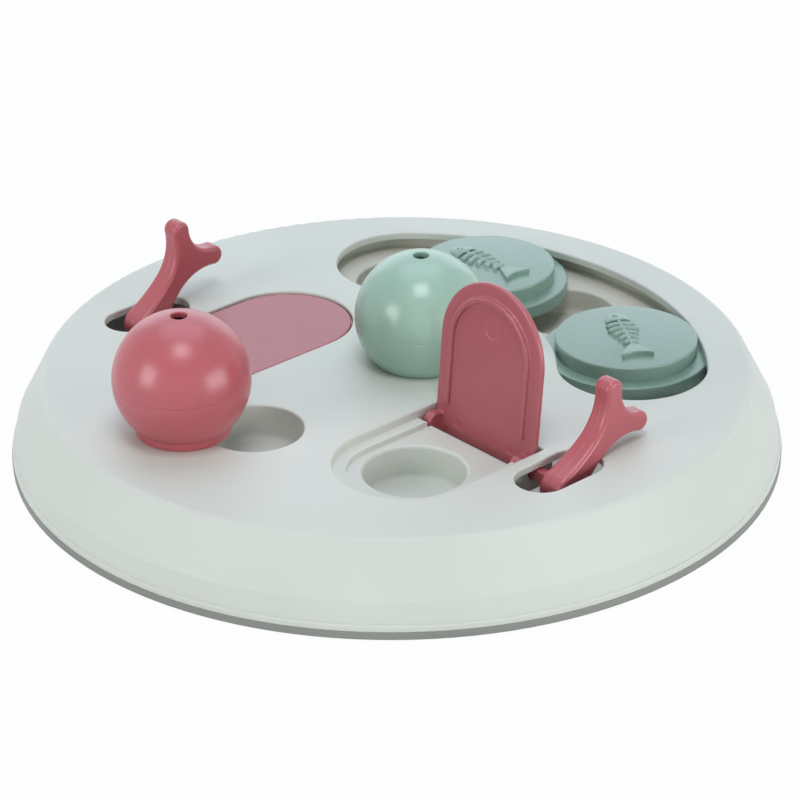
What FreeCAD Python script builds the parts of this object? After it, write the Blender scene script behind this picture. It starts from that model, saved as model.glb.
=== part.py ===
import FreeCAD, Part
import os
import Sketcher

# Cat activity board: a round moulded board with two balls in cups, two lids worked by
# fishtail levers, and two sliders in an arc-shaped track over three treat cups.
# Frame: Z up, origin at the middle of the ring the board stands on. X points to the
# middle of the arc track. All sizes in millimetres, all angles in degrees.

SIZES = [
    # board
    ("board_height", 25.45, "flat top of the board above the table"),
    ("plate_thickness", 2.3, "top plate, seen as the lip round every opening"),
    ("skirt_wall", 2.2, "sloping outer wall"),
    ("top_radius", 105.1, "where the flat top meets the slope"),
    ("top_round", 1.8, "rounding between flat top and slope"),
    ("band_radius", 113.0, "outer wall where the slope meets the steeper band"),
    ("band_height", 10.5, "height of that line"),
    ("band_foot_radius", 114.1, "foot of the steeper band, on the lip"),
    ("lip_radius", 114.8, "lip above the ring"),
    ("lip_height", 4.1, "top of the lip"),
    ("lip_round", 0.5, "rounded bright edge of the lip"),
    ("rim_height", 5.2, "top of the thick rim that takes the ring"),
    ("mouth_round", 0.6, "rounded upper edge of every opening"),
    # non-slip ring
    ("ring_radius", 115.0, "outer radius of the ring"),
    ("ring_height", 2.3, "height of the ring below the shell"),
    ("ring_width", 5.4, "width of the ring and of the rim above it"),
    ("tongue_width", 1.6, "tongue that holds the ring in the rim"),
    ("tongue_height", 1.4, "height of that tongue"),
    ("tongue_gap", 0.05, "clearance round the tongue"),
    # stiffening gussets under the plate
    ("gusset_count", 12, "gussets between plate and skirt"),
    ("gusset_length", 6.0, "radial length of a gusset"),
    ("gusset_depth", 7.5, "depth of a gusset below the plate"),
    ("gusset_thickness", 1.8, "thickness of a gusset"),
    # arc track
    ("track_radius", 70.0, "middle line of the track"),
    ("track_half_angle", 45.0, "sweep of the track to each side of X"),
    ("mouth_half_width", 22.3, "half the width of the opening in the plate"),
    ("track_half_width", 26.5, "half the width of the track under the lip"),
    ("track_depth", 6.75, "track floor below the board's top"),
    ("tray_wall", 1.8, "walls and floor of the tray"),
    ("track_cup_radius", 16.0, "treat cups in the track floor"),
    ("track_cup_depth", 8.0, "their depth below the floor"),
    ("track_cup_round", 1.0, "rounded rim of those cups"),
    ("cup_foot_round", 2.0, "rounded foot inside every cup"),
    # tray lugs, bosses and screws
    ("lug_radius", 4.0, "lugs on the tray and bosses on the shell"),
    ("lug_gap", 0.6, "how far a lug runs into the tray's wall"),
    ("tray_gap", 0.2, "bosses and gussets cut back beside the tray"),
    ("side_lug_angle", 32.0, "angle of the side lugs from X"),
    ("screw_shank_radius", 1.3, "shank of the tray screws"),
    ("screw_length", 6.2, "shank length"),
    ("screw_head_radius", 2.8, "pan head radius"),
    ("screw_head_height", 1.8, "pan head height"),
    ("screw_recess_width", 0.9, "width of the cross recess"),
    ("screw_recess_depth", 1.0, "depth of the cross recess"),
    ("pilot_gap", 0.03, "clearance of the shank in its pilot hole"),
    ("screw_hole_gap", 0.25, "clearance of the shank in the lug"),
    # sliders
    ("knob_radius", 21.4, "raised disc of a slider"),
    ("knob_rise", 2.0, "top of the disc above the board"),
    ("flange_radius", 25.5, "flange that runs under the lip"),
    ("lip_clearance", 0.25, "flange below the lip"),
    ("floor_clearance", 0.1, "flange above the track floor"),
    ("slider_wall", 1.8, "walls of a slider"),
    ("knob_round", 0.8, "rounded edge of the disc"),
    ("flange_round", 0.5, "rounded edge of the flange"),
    ("back_slider_angle", 23.7, "place of the back slider in the track"),
    ("right_slider_angle", -32.8, "place of the right slider in the track"),
    ("back_fish_turn", 90.0, "direction of the back fish, tail to head, from X"),
    ("right_fish_turn", 58.5, "direction of the right fish, tail to head, from X"),
    # fishbone relief
    ("rib_count", 6, "ribs of the fishbone"),
    ("rib_pitch", 2.75, "distance between ribs"),
    ("first_rib", 7.5, "place of the rib next to the head"),
    ("rib_span", 3.7, "half span of the widest rib"),
    ("widest_rib", 1.5, "where the ribs are widest, counted from the first as 0"),
    ("rib_shrink", 0.05, "share by which a rib is shorter one pitch from there"),
    ("rib_sweep", 48.0, "half angle of the arc that every rib follows"),
    ("rib_radius", 0.88, "radius of the round ribs"),
    ("bead_radius", 1.1, "radius of the bead where a rib crosses the spine"),
    ("spine_radius", 0.75, "radius of the spine"),
    ("bone_lift", 0.35, "middle of ribs, beads and spine above the disc"),
    ("head_length", 5.6, "from the gills to the nose"),
    ("head_half_width", 3.8, "half width of the head"),
    ("head_rise", 1.6, "height of the head over the disc"),
    ("eye_radius", 0.8, "ring of the eye"),
    ("eye_dot", 0.35, "dot inside that ring"),
    ("tail_reach", 9.6, "radius of the tail fan"),
    ("tail_spread", 33.0, "half angle of the tail fan"),
    ("tail_notch", 9.0, "radius of the hollow at the tail's end"),
    ("tail_notch_place", -12.4, "deepest point of that hollow, from the disc's middle"),
    ("tail_rise", 1.4, "height of the tail over the disc"),
    # ball cups and balls
    ("ball_cup_radius", 14.0, "cups that the balls sit in"),
    ("ball_cup_depth", 11.0, "their depth"),
    ("ball_cup_round", 0.6, "rounded rim of those cups"),
    ("cup_wall", 1.8, "wall of every cup and basin under the plate"),
    ("free_cup_x", -57.65, "cup that the pink ball stands beside"),
    ("free_cup_y", -3.8, "same"),
    ("filled_cup_x", 7.5, "cup that the green ball sits in"),
    ("filled_cup_y", -3.0, "same"),
    ("pink_ball_x", -73.0, "where the pink ball stands"),
    ("pink_ball_y", 9.5, "same"),
    ("ball_radius", 19.8, "outer radius of a ball"),
    ("ball_wall", 1.8, "wall of a ball"),
    ("ball_hole_radius", 2.35, "hole in the top of a ball"),
    ("collar_clearance", 0.3, "collar of a ball in its cup"),
    ("collar_drop", 16.45, "foot of the collar below the ball's middle"),
    ("collar_top", 13.95, "top of the collar, a small step under the sphere"),
    ("ball_seat_gap", 0.05, "seated ball above the rim of its cup"),
    ("seam_step", 1.2, "height of the step that joins the halves"),
    # lid recesses, in each recess's own frame: x from the hinge to the round end,
    # y to the lever's side
    ("front_hinge_x", -12.0, "hinge axis of the front lid"),
    ("front_hinge_y", -48.0, "middle line of the front lid"),
    ("rear_hinge_x", -34.0, "hinge axis of the rear lid"),
    ("rear_hinge_y", 43.6, "middle line of the rear lid"),
    ("hinge_depth", 4.45, "hinge axis below the board's top"),
    ("recess_half_width", 20.8, "half width of a recess and radius of its round end"),
    ("recess_reach", 27.75, "centre of the round end from the hinge"),
    ("recess_back", 5.6, "back edge of a recess behind the hinge"),
    ("ledge_width", 3.9, "ledge that the closed lid rests on"),
    ("ledge_depth", 2.5, "ledge below the board's top"),
    ("recess_depth", 4.0, "recess floor below the board's top"),
    ("trough_depth", 3.9, "hinge trough below the axis"),
    ("socket_room", 0.3, "trough in front of the socket knuckle"),
    ("knuckle_room", 1.2, "pocket in front of the pin knuckle"),
    ("knuckle_side_room", 0.7, "pocket beside that knuckle"),
    ("knuckle_pocket_round", 1.5, "rounded corner of that pocket"),
    ("treat_cup_radius", 14.7, "treat cup in a recess"),
    ("treat_cup_x", 24.5, "its middle, from the hinge"),
    ("treat_cup_depth", 15.0, "its floor below the board's top"),
    ("treat_cup_round", 1.0, "its rounded rim"),
    # lever slots
    ("slot_half_length", 14.4, "half length of a lever slot"),
    ("slot_half_width", 7.7, "half width and end radius of a lever slot"),
    ("partition", 4.1, "wall between recess and slot"),
    # lids
    ("lid_gap", 0.55, "gap between a lid and its recess"),
    ("lid_thickness", 1.8, "lid plate"),
    ("lid_seat_gap", 0.1, "closed lid above its ledge"),
    ("lid_back", 3.2, "lid plate behind the hinge axis"),
    ("lid_round", 0.45, "rounded edges of a lid and of its rib"),
    ("lid_rib_inset", 4.2, "rib under the lid from the lid's edge"),
    ("lid_rib_width", 1.7, "width of that rib"),
    ("lid_rib_height", 1.3, "height of that rib"),
    ("lid_rib_end", 6.8, "where the rib ends, from the hinge"),
    ("ejector_radius", 2.6, "shallow round mark under the lid's round end"),
    ("small_ejector_radius", 1.4, "the two marks near the hinge"),
    ("ejector_depth", 0.2, "depth of the marks"),
    ("knuckle_radius", 3.2, "knuckle that carries the hinge pin"),
    ("knuckle_length", 3.2, "its length"),
    ("pin_radius", 1.9, "hinge pin in the far wall"),
    ("pin_gap", 0.08, "clearance of the pin in its hole"),
    ("pin_length", 1.8, "length of the pin in the wall"),
    ("socket_radius", 2.65, "knuckle with the square socket"),
    ("socket_length", 5.0, "its length"),
    ("lid_open_angle", 95.3, "opening of the front lid"),
    # levers, in the lever's own frame: x from the hinge axis to the fishtail
    ("bar_side", 3.1, "side of the square bar"),
    ("bar_gap", 0.06, "clearance of the bar in its socket"),
    ("bar_hole_gap", 0.1, "clearance of the bar's corners in the recess wall"),
    ("bar_engagement", 3.8, "length of bar inside the socket"),
    ("lever_angle", 46.6, "lever above its lid, seen along the hinge"),
    ("lever_offset", 1.9, "middle line of the lever from the hinge axis"),
    ("foot_radius", 5.3, "round foot of a lever"),
    ("neck_half_width", 3.4, "half width of the neck at its narrowest"),
    ("neck_length", 14.0, "narrowest place of the neck from the axis"),
    ("lobe_radius", 3.0, "round ends of the fishtail"),
    ("lobe_reach", 29.6, "centres of the lobes from the axis"),
    ("lobe_half_span", 8.6, "centres of the lobes from the middle line"),
    ("tail_hollow", 29.0, "deepest point of the hollow between the lobes"),
    ("lever_base_thickness", 8.6, "thickness at the foot"),
    ("lever_tail_thickness", 5.8, "thickness at the lobes"),
    ("lever_round", 1.4, "rounded edges of a lever"),
]

# Values worked out from the sizes above, each a formula on the first sheet.
WORKED = [
    ("plate_under", "sizes.board_height - sizes.plate_thickness"),
    ("slope", "(sizes.band_radius - sizes.top_radius) / (sizes.board_height - sizes.band_height)"),
    ("skirt_level", "sizes.skirt_wall * sqrt(1 + slope ^ 2)"),
    ("inner_top", "sizes.top_radius + sizes.plate_thickness * slope - skirt_level"),
    ("inner_band", "sizes.band_radius - skirt_level"),
    ("rim_inner", "sizes.ring_radius - sizes.ring_width"),
    ("tongue_inner", "sizes.ring_radius - (sizes.ring_width + sizes.tongue_width) / 2"),
    ("tongue_outer", "sizes.ring_radius - (sizes.ring_width - sizes.tongue_width) / 2"),
    ("groove_inner", "tongue_inner - sizes.tongue_gap"),
    ("groove_outer", "tongue_outer + sizes.tongue_gap"),
    ("groove_top", "sizes.ring_height + sizes.tongue_height + sizes.tongue_gap"),
    ("tongue_top", "sizes.ring_height + sizes.tongue_height"),
    ("track_floor", "sizes.board_height - sizes.track_depth"),
    ("tray_under", "track_floor - sizes.tray_wall"),
    ("tray_half_width", "sizes.track_half_width + sizes.tray_wall"),
    ("track_cup_floor", "track_floor - sizes.track_cup_depth"),
    ("lug_stand", "tray_half_width + sizes.lug_radius - sizes.lug_gap"),
    ("end_lug_angle", "sizes.track_half_angle + 2 * asin(lug_stand / sizes.track_radius / 2) / 1 deg"),
    ("flange_top", "plate_under - sizes.lip_clearance"),
    ("flange_bottom", "track_floor + sizes.floor_clearance"),
    ("knob_top", "sizes.board_height + sizes.knob_rise"),
    ("flange_core", "sizes.flange_radius - sizes.slider_wall"),
    ("knob_core", "sizes.knob_radius - sizes.slider_wall"),
    ("flange_core_top", "flange_top - sizes.slider_wall"),
    ("knob_core_top", "knob_top - sizes.slider_wall"),
    (
        "cheek_radius",
        "(sizes.head_length ^ 2 + sizes.head_half_width ^ 2) / (2 * sizes.head_half_width)",
    ),
    ("brow_fall", "sizes.head_rise * 0.6"),
    ("brow_radius", "(sizes.head_length ^ 2 + brow_fall ^ 2) / (2 * brow_fall)"),
    ("ball_cup_floor", "sizes.board_height - sizes.ball_cup_depth"),
    ("collar_radius", "sizes.ball_cup_radius - sizes.collar_clearance"),
    ("rim_contact", "sizes.ball_cup_radius + sizes.ball_cup_round"),
    ("seat_reach", "sizes.ball_radius + sizes.ball_cup_round + sizes.ball_seat_gap"),
    ("seated_height", "sizes.board_height - sizes.ball_cup_round + sqrt(seat_reach ^ 2 - rim_contact ^ 2)"),
    ("standing_height", "sizes.board_height + sizes.collar_drop"),
    ("hinge_height", "sizes.board_height - sizes.hinge_depth"),
    ("ledge_height", "sizes.board_height - sizes.ledge_depth"),
    ("recess_floor", "sizes.board_height - sizes.recess_depth"),
    ("trough_floor", "hinge_height - sizes.trough_depth"),
    ("trough_front", "sizes.socket_radius + sizes.socket_room"),
    ("knuckle_pocket_front", "sizes.knuckle_radius + sizes.knuckle_room"),
    ("treat_cup_floor", "sizes.board_height - sizes.treat_cup_depth"),
    ("inner_recess_radius", "sizes.recess_half_width - sizes.ledge_width"),
    ("slot_middle", "sizes.recess_half_width + sizes.partition + sizes.slot_half_width"),
    ("lid_under", "ledge_height + sizes.lid_seat_gap"),
    ("lid_top", "lid_under + sizes.lid_thickness"),
    ("lid_radius", "sizes.recess_half_width - sizes.lid_gap"),
    ("knuckle_pocket_side", "lid_radius - sizes.knuckle_length - sizes.knuckle_side_room"),
    ("rib_outer", "lid_radius - sizes.lid_rib_inset"),
    ("rib_inner", "rib_outer - sizes.lid_rib_width"),
    ("bar_hole_radius", "sizes.bar_side * sqrt(2) / 2 + sizes.bar_hole_gap"),
    ("bar_end", "lid_radius - sizes.bar_engagement"),
    (
        "foot_flank_radius",
        "(sizes.neck_length ^ 2 + sizes.neck_half_width ^ 2 - sizes.foot_radius ^ 2)"
        " / (2 * (sizes.foot_radius - sizes.neck_half_width))",
    ),
    ("flank_rise", "sizes.lobe_half_span - sizes.neck_half_width"),
    ("flank_run", "sizes.lobe_reach - sizes.neck_length"),
    (
        "flank_radius",
        "(flank_run ^ 2 + flank_rise ^ 2 - sizes.lobe_radius ^ 2) / (2 * (flank_rise + sizes.lobe_radius))",
    ),
    ("hollow_lag", "sizes.lobe_reach - sizes.tail_hollow"),
    (
        "hollow_radius",
        "(sizes.lobe_half_span ^ 2 + hollow_lag ^ 2 - sizes.lobe_radius ^ 2)"
        " / (2 * (sizes.lobe_radius + hollow_lag))",
    ),
    ("hollow_centre", "sizes.tail_hollow + hollow_radius"),
]

doc = FreeCAD.newDocument("activity_board")
sizes = doc.addObject("Spreadsheet::Sheet", "sizes")
for row, (alias, value, meaning) in enumerate(SIZES, start=1):
    sizes.set(f"A{row}", meaning)
    sizes.set(f"B{row}", str(value))
    sizes.setAlias(f"B{row}", alias)
doc.recompute()
worked = doc.addObject("Spreadsheet::Sheet", "worked")
for row, (alias, formula) in enumerate(WORKED, start=1):
    worked.set(f"B{row}", "=" + formula)
    worked.setAlias(f"B{row}", alias)
doc.recompute()

UP = FreeCAD.Vector(0, 0, 1)
PIECES = []


def size(alias):
    """a driving size as a number"""
    return float(sizes.get(alias))


def derived(alias):
    """a worked-out value as a number"""
    return float(worked.get(alias))


def finish(piece, node):
    """name the finished piece after its node"""
    piece.Label = node
    PIECES.append(piece)
    return piece


def put(thing, at=("0", "0", "0"), turn=None):
    """place a thing by formulas; turn is an angle about Z"""
    for axis, formula in zip("xyz", at):
        thing.setExpression(".Placement.Base." + axis, formula)
    if turn is not None:
        thing.setExpression(".Placement.Rotation.Angle", turn)
    return thing


def lay_along_y(thing):
    """turn a cylinder, whose axis is Z, so that it runs along +Y from its place"""
    thing.Placement.Rotation = FreeCAD.Rotation(FreeCAD.Vector(1, 0, 0), -90)
    return thing


def rod(name, radius, low, high, x="0", y="0"):
    """an upright cylinder between two heights"""
    rod_ = doc.addObject("Part::Cylinder", name)
    rod_.setExpression("Radius", radius)
    rod_.setExpression("Height", f"({high}) - ({low})")
    return put(rod_, (x, y, low))


def axle(name, radius, left, right, x="0", z="0"):
    """a cylinder along Y between two places"""
    axle_ = doc.addObject("Part::Cylinder", name)
    axle_.setExpression("Radius", radius)
    axle_.setExpression("Height", f"({right}) - ({left})")
    lay_along_y(axle_)
    return put(axle_, (x, left, z))


def block(name, x_span, y_span, z_span):
    """a box between two corners"""
    block_ = doc.addObject("Part::Box", name)
    for prop, span in zip(("Length", "Width", "Height"), (x_span, y_span, z_span)):
        block_.setExpression(prop, f"({span[1]}) - ({span[0]})")
    return put(block_, (x_span[0], y_span[0], z_span[0]))


def fuse(name, shapes):
    """one solid from several"""
    fused = doc.addObject("Part::MultiFuse", name)
    fused.Shapes = shapes
    fused.Refine = True
    return fused


def cut(name, base, tool):
    """base without tool"""
    rest = doc.addObject("Part::Cut", name)
    rest.Base = base
    rest.Tool = tool
    rest.Refine = True
    return rest


def common(name, first, second):
    """what two solids share"""
    shared = doc.addObject("Part::Common", name)
    shared.Base = first
    shared.Tool = second
    shared.Refine = True
    return shared


def round_edges(name, base, radius, choose):
    """round the edges of base that choose picks"""
    doc.recompute()
    rounded = doc.addObject("Part::Fillet", name)
    rounded.Base = base
    picked = [i for i, edge in enumerate(base.Shape.Edges, start=1) if choose(edge)]
    rounded.Edges = [(i, radius, radius) for i in picked]
    print(name, "edges rounded:", len(picked))
    return rounded


def spread(name, x_span, half_width, z_span):
    """a box that lies evenly to both sides of the X axis"""
    return block(name, x_span, (f"-({half_width})", half_width), z_span)


def tongue_form(name, back, reach, radius, z_span):
    """a flat form with one round end: square at x = back, round about x = reach"""
    return fuse(
        name,
        [
            spread(name + "_straight", (back, reach), radius, z_span),
            rod(name + "_end", radius, z_span[0], z_span[1], x=reach),
        ],
    )


def slot_form(name, radius, z_span):
    """a flat form along X with two round ends, about a lever slot's middle"""
    reach = "sizes.slot_half_length - sizes.slot_half_width"
    middle = "worked.slot_middle"
    near = f"{middle} - ({radius})"
    far = f"{middle} + ({radius})"
    return fuse(
        name,
        [
            block(name + "_middle", (f"-({reach})", reach), (near, far), z_span),
            rod(name + "_left", radius, z_span[0], z_span[1], x=f"-({reach})", y=middle),
            rod(name + "_right", radius, z_span[0], z_span[1], x=reach, y=middle),
        ],
    )


def arc_form(name, half_width, z_span):
    """a flat arc with round ends along the middle line of the track"""
    start = "-sizes.track_half_angle"
    sweep = "2 * sizes.track_half_angle"
    parts = []
    for side, sign in (("outer", "+"), ("inner", "-")):
        sector = rod(f"{name}_{side}", f"sizes.track_radius {sign} ({half_width})", *z_span)
        sector.setExpression("Angle", sweep)
        sector.setExpression(".Placement.Rotation.Angle", start)
        parts.append(sector)
    band = cut(name + "_band", parts[0], parts[1])
    ends = []
    for end, angle in (("start", start), ("stop", "sizes.track_half_angle")):
        ends.append(
            rod(
                f"{name}_{end}",
                half_width,
                *z_span,
                x=f"sizes.track_radius * cos({angle})",
                y=f"sizes.track_radius * sin({angle})",
            )
        )
    return fuse(name, [band] + ends)


class Drawing:
    """a sketch in a body, whose dimensions are formulas on the two sheets"""

    def __init__(self, body, name, plane):
        self.sketch = body.newObject("Sketcher::SketchObject", name)
        origin = body.Origin.OriginFeatures
        support = [feature for feature in origin if feature.Role == plane][0]
        self.sketch.AttachmentSupport = (support, "")
        self.sketch.MapMode = "FlatFace"

    def number(self, formula):
        """what a formula comes to, read through a spare cell"""
        spare = doc.getObject("spare") or doc.addObject("Spreadsheet::Sheet", "spare")
        spare.set("A1", "=" + formula)
        spare.recompute()
        return float(spare.get("A1"))

    def bind(self, kind, *where, formula):
        """one dimension, bound to its formula"""
        value = self.number(formula)
        index = self.sketch.addConstraint(Sketcher.Constraint(kind, *where, value))
        self.sketch.setExpression(f"Constraints[{index}]", formula)

    def fix(self, geometry, point, x, y):
        """the place of a point from the sketch's origin"""
        for kind, formula, axis in (("DistanceX", x, -2), ("DistanceY", y, -1)):
            if formula == "0":
                rule = Sketcher.Constraint("PointOnObject", geometry, point, axis)
                self.sketch.addConstraint(rule)
            else:
                self.bind(kind, -1, 1, geometry, point, formula=formula)

    def meet(self, first, second, smooth=False):
        """join two lines or arcs at the ends that lie together, smoothly if asked"""
        spans = []
        for this in (1, 2):
            for that in (1, 2):
                here = self.sketch.getPoint(first, this)
                there = self.sketch.getPoint(second, that)
                spans.append((here.distanceToPoint(there), this, that))
        _, this, that = min(spans)
        kind = "Tangent" if smooth else "Coincident"
        self.sketch.addConstraint(Sketcher.Constraint(kind, first, this, second, that))

    def line(self, start, end):
        """a straight line between two points"""
        ends = [FreeCAD.Vector(*start, 0), FreeCAD.Vector(*end, 0)]
        return self.sketch.addGeometry(Part.LineSegment(*ends), False)

    def arc(self, start, end, through):
        """an arc between two points that passes a third"""
        three = [FreeCAD.Vector(*point, 0) for point in (start, through, end)]
        return self.sketch.addGeometry(Part.Arc(*three), False)

    def outline(self, corners):
        """a closed outline of straight lines through corners given as formulas"""
        points = [(self.number(x), self.number(y)) for x, y in corners]
        lines = [self.line(p, q) for p, q in zip(points, points[1:] + points[:1])]
        for this, following in zip(lines, lines[1:] + lines[:1]):
            self.meet(this, following)
        for line, (x, y) in zip(lines, corners):
            self.fix(line, 1, x, y)

    def settle_fishtail(self, halves, dip, base):
        """the rules of the lever's outline"""
        self.fix(base, 3, "0", "sizes.lever_offset")
        self.bind("Radius", base, formula="sizes.foot_radius")
        for side, (foot, flank, lobe) in halves.items():
            sign = "+" if side > 0 else "-"
            waist = f"sizes.lever_offset {sign} sizes.neck_half_width"
            self.fix(foot, 3, "sizes.neck_length", f"{waist} {sign} worked.foot_flank_radius")
            self.fix(lobe, 3, "sizes.lobe_reach", f"sizes.lever_offset {sign} sizes.lobe_half_span")
            self.bind("Radius", lobe, formula="sizes.lobe_radius")
            self.meet(base, foot, smooth=True)
            self.meet(foot, flank, smooth=True)
            self.bind("DistanceX", -1, 1, flank, 3, formula="sizes.neck_length")
            self.meet(flank, lobe, smooth=True)
            self.meet(lobe, dip, smooth=True)
        self.bind("DistanceX", -1, 1, dip, 3, formula="worked.hollow_centre")


def turned(name, corners):
    """a body turned about Z from its outline of radii and heights"""
    body = doc.addObject("PartDesign::Body", name)
    drawing = Drawing(body, name + "_profile", "XZ_Plane")
    drawing.outline(corners)
    turning = body.newObject("PartDesign::Revolution", name + "_turning")
    turning.Profile = drawing.sketch
    turning.ReferenceAxis = (drawing.sketch, ["V_Axis"])
    turning.Angle = 360
    doc.recompute()
    return body


def round_rims(body, rims):
    """round the circular edges of a turned body; rims are (radius, height, rounding)"""
    for number, (radius, height, rounding) in enumerate(rims, start=1):
        before = body.Tip
        names = []
        for i, edge in enumerate(before.Shape.Edges, start=1):
            if is_rim(edge, derived_or_size(radius), derived_or_size(height)):
                names.append(f"Edge{i}")
        rim = body.newObject("PartDesign::Fillet", f"{body.Name}_round_{number}")
        rim.Base = (before, names)
        rim.setExpression("Radius", "sizes." + rounding)
        doc.recompute()
    return body


def derived_or_size(alias):
    """a number from whichever sheet has the alias"""
    known = [name for name, _, _ in SIZES]
    return size(alias) if alias in known else derived(alias)


def is_rim(edge, radius, height):
    """whether an edge is part of a circle of this radius at this height"""
    if not isinstance(edge.Curve, Part.Circle):
        return False
    near_radius = abs(edge.Curve.Radius - radius) < 1e-3
    near_height = abs(edge.Curve.Center.z - height) < 1e-3
    return near_radius and near_height


# Shell: the turned skin, then what hangs under the plate, then every opening.


def shell_skin():
    """the board's outer wall, plate and thick rim, turned in one outline"""
    skin = turned(
        "shell_skin",
        [
            ("0", "sizes.board_height"),
            ("sizes.top_radius", "sizes.board_height"),
            ("sizes.band_radius", "sizes.band_height"),
            ("sizes.band_foot_radius", "sizes.lip_height"),
            ("sizes.lip_radius", "sizes.lip_height"),
            ("sizes.lip_radius", "sizes.ring_height"),
            ("worked.groove_outer", "sizes.ring_height"),
            ("worked.groove_outer", "worked.groove_top"),
            ("worked.groove_inner", "worked.groove_top"),
            ("worked.groove_inner", "sizes.ring_height"),
            ("worked.rim_inner", "sizes.ring_height"),
            ("worked.rim_inner", "sizes.rim_height"),
            ("worked.inner_band", "sizes.band_height"),
            ("worked.inner_top", "worked.plate_under"),
            ("0", "worked.plate_under"),
        ],
    )
    return round_rims(
        skin,
        [
            ("top_radius", "board_height", "top_round"),
            ("lip_radius", "lip_height", "lip_round"),
        ],
    )


def gussets():
    """short walls that brace the plate against the sloping skirt"""
    braces = []
    for i in range(int(size("gusset_count"))):
        angle = f"({i} + 0.5) * 360 / sizes.gusset_count"
        inner = "(worked.inner_top - sizes.gusset_length)"
        half = "sizes.gusset_thickness / 2"
        brace = doc.addObject("Part::Box", f"gusset_{i + 1}")
        brace.setExpression("Length", "sizes.band_radius - worked.inner_top + sizes.gusset_length")
        brace.setExpression("Width", "sizes.gusset_thickness")
        brace.setExpression("Height", "sizes.gusset_depth + sizes.plate_thickness / 2")
        at = (
            f"{inner} * cos({angle}) + {half} * sin({angle})",
            f"{inner} * sin({angle}) - {half} * cos({angle})",
            "worked.plate_under - sizes.gusset_depth",
        )
        braces.append(put(brace, at, angle))
    inside = doc.addObject("Part::Cone", "skirt_inside")
    top = "worked.plate_under + sizes.plate_thickness / 2"
    inside.setExpression("Radius1", "worked.inner_band + worked.skirt_level / 2")
    inside.setExpression(
        "Radius2", "worked.inner_top + worked.skirt_level / 2 - worked.slope * sizes.plate_thickness / 2"
    )
    inside.setExpression("Height", f"{top} - sizes.band_height")
    put(inside, ("0", "0", "sizes.band_height"))
    return [common("gussets", fuse("gusset_boxes", braces), inside)]


def lug_places():
    """where the tray is screwed to the shell, as formulas"""
    places = []
    inside = "(sizes.track_radius - worked.lug_stand)"
    outside = "(sizes.track_radius + worked.lug_stand)"
    for angle in ("-sizes.side_lug_angle", "0", "sizes.side_lug_angle"):
        for reach in (inside, outside):
            places.append((f"{reach} * cos({angle})", f"{reach} * sin({angle})"))
    for angle in ("-worked.end_lug_angle", "worked.end_lug_angle"):
        reach = "sizes.track_radius"
        places.append((f"{reach} * cos({angle})", f"{reach} * sin({angle})"))
    return places


def rods_at_lugs(name, radius, low, high):
    """one upright rod at every lug"""
    rods = []
    for i, (x, y) in enumerate(lug_places(), start=1):
        rods.append(rod(f"{name}_{i}", radius, low, high, x=x, y=y))
    return rods


def cup(name, radius, floor, x="0", y="0", rounding=None, mouth="sizes.board_height"):
    """the space inside a cup, with a rounded rim and foot"""
    well = rod(name + "_well", radius, floor, f"{mouth} + 1", x=x, y=y)
    doc.recompute()
    foot = round_edges(
        name + "_foot",
        well,
        size("cup_foot_round"),
        lambda edge: lies_level(edge, well.Shape.BoundBox.ZMin),
    )
    flare = doc.addObject("Part::Cylinder", name + "_flare")
    flare.setExpression("Radius", f"{radius} + sizes.{rounding}")
    flare.setExpression("Height", f"sizes.{rounding} + 1")
    put(flare, (x, y, f"{mouth} - sizes.{rounding}"))
    bead = doc.addObject("Part::Torus", name + "_bead")
    bead.setExpression("Radius1", f"{radius} + sizes.{rounding}")
    bead.setExpression("Radius2", f"sizes.{rounding}")
    put(bead, (x, y, f"{mouth} - sizes.{rounding}"))
    return fuse(name, [foot, cut(name + "_rim", flare, bead)])


def lies_level(edge, height):
    """whether an edge lies flat at this height"""
    box = edge.BoundBox
    return abs(box.ZMin - height) < 1e-3 and abs(box.ZMax - height) < 1e-3


def unit_place(thing, which):
    """carry a recess or lever unit to its place: the front one is turned half round"""
    at = (f"sizes.{which}_hinge_x", f"sizes.{which}_hinge_y", "0")
    return put(thing, at, "180" if which == "front" else "0")


def basin(which):
    """walls of one lid recess, its cup and its trough, under the plate"""
    wall = "sizes.cup_wall"
    top = "worked.plate_under + sizes.plate_thickness / 2"
    name = which + "_basin"
    back = f"-(sizes.recess_back + {wall})"
    return unit_place(
        fuse(
            name,
            [
                tongue_form(
                    name + "_tub",
                    back,
                    "sizes.recess_reach",
                    f"sizes.recess_half_width + {wall}",
                    (f"worked.recess_floor - {wall}", top),
                ),
                rod(
                    name + "_cup",
                    f"sizes.treat_cup_radius + {wall}",
                    f"worked.treat_cup_floor - {wall}",
                    top,
                    x="sizes.treat_cup_x",
                ),
                block(
                    name + "_trough",
                    (back, f"worked.knuckle_pocket_front + {wall}"),
                    (
                        f"-(sizes.recess_half_width + sizes.pin_length + {wall})",
                        f"sizes.recess_half_width + {wall}",
                    ),
                    (f"worked.trough_floor - {wall}", top),
                ),
            ],
        ),
        which,
    )


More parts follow.
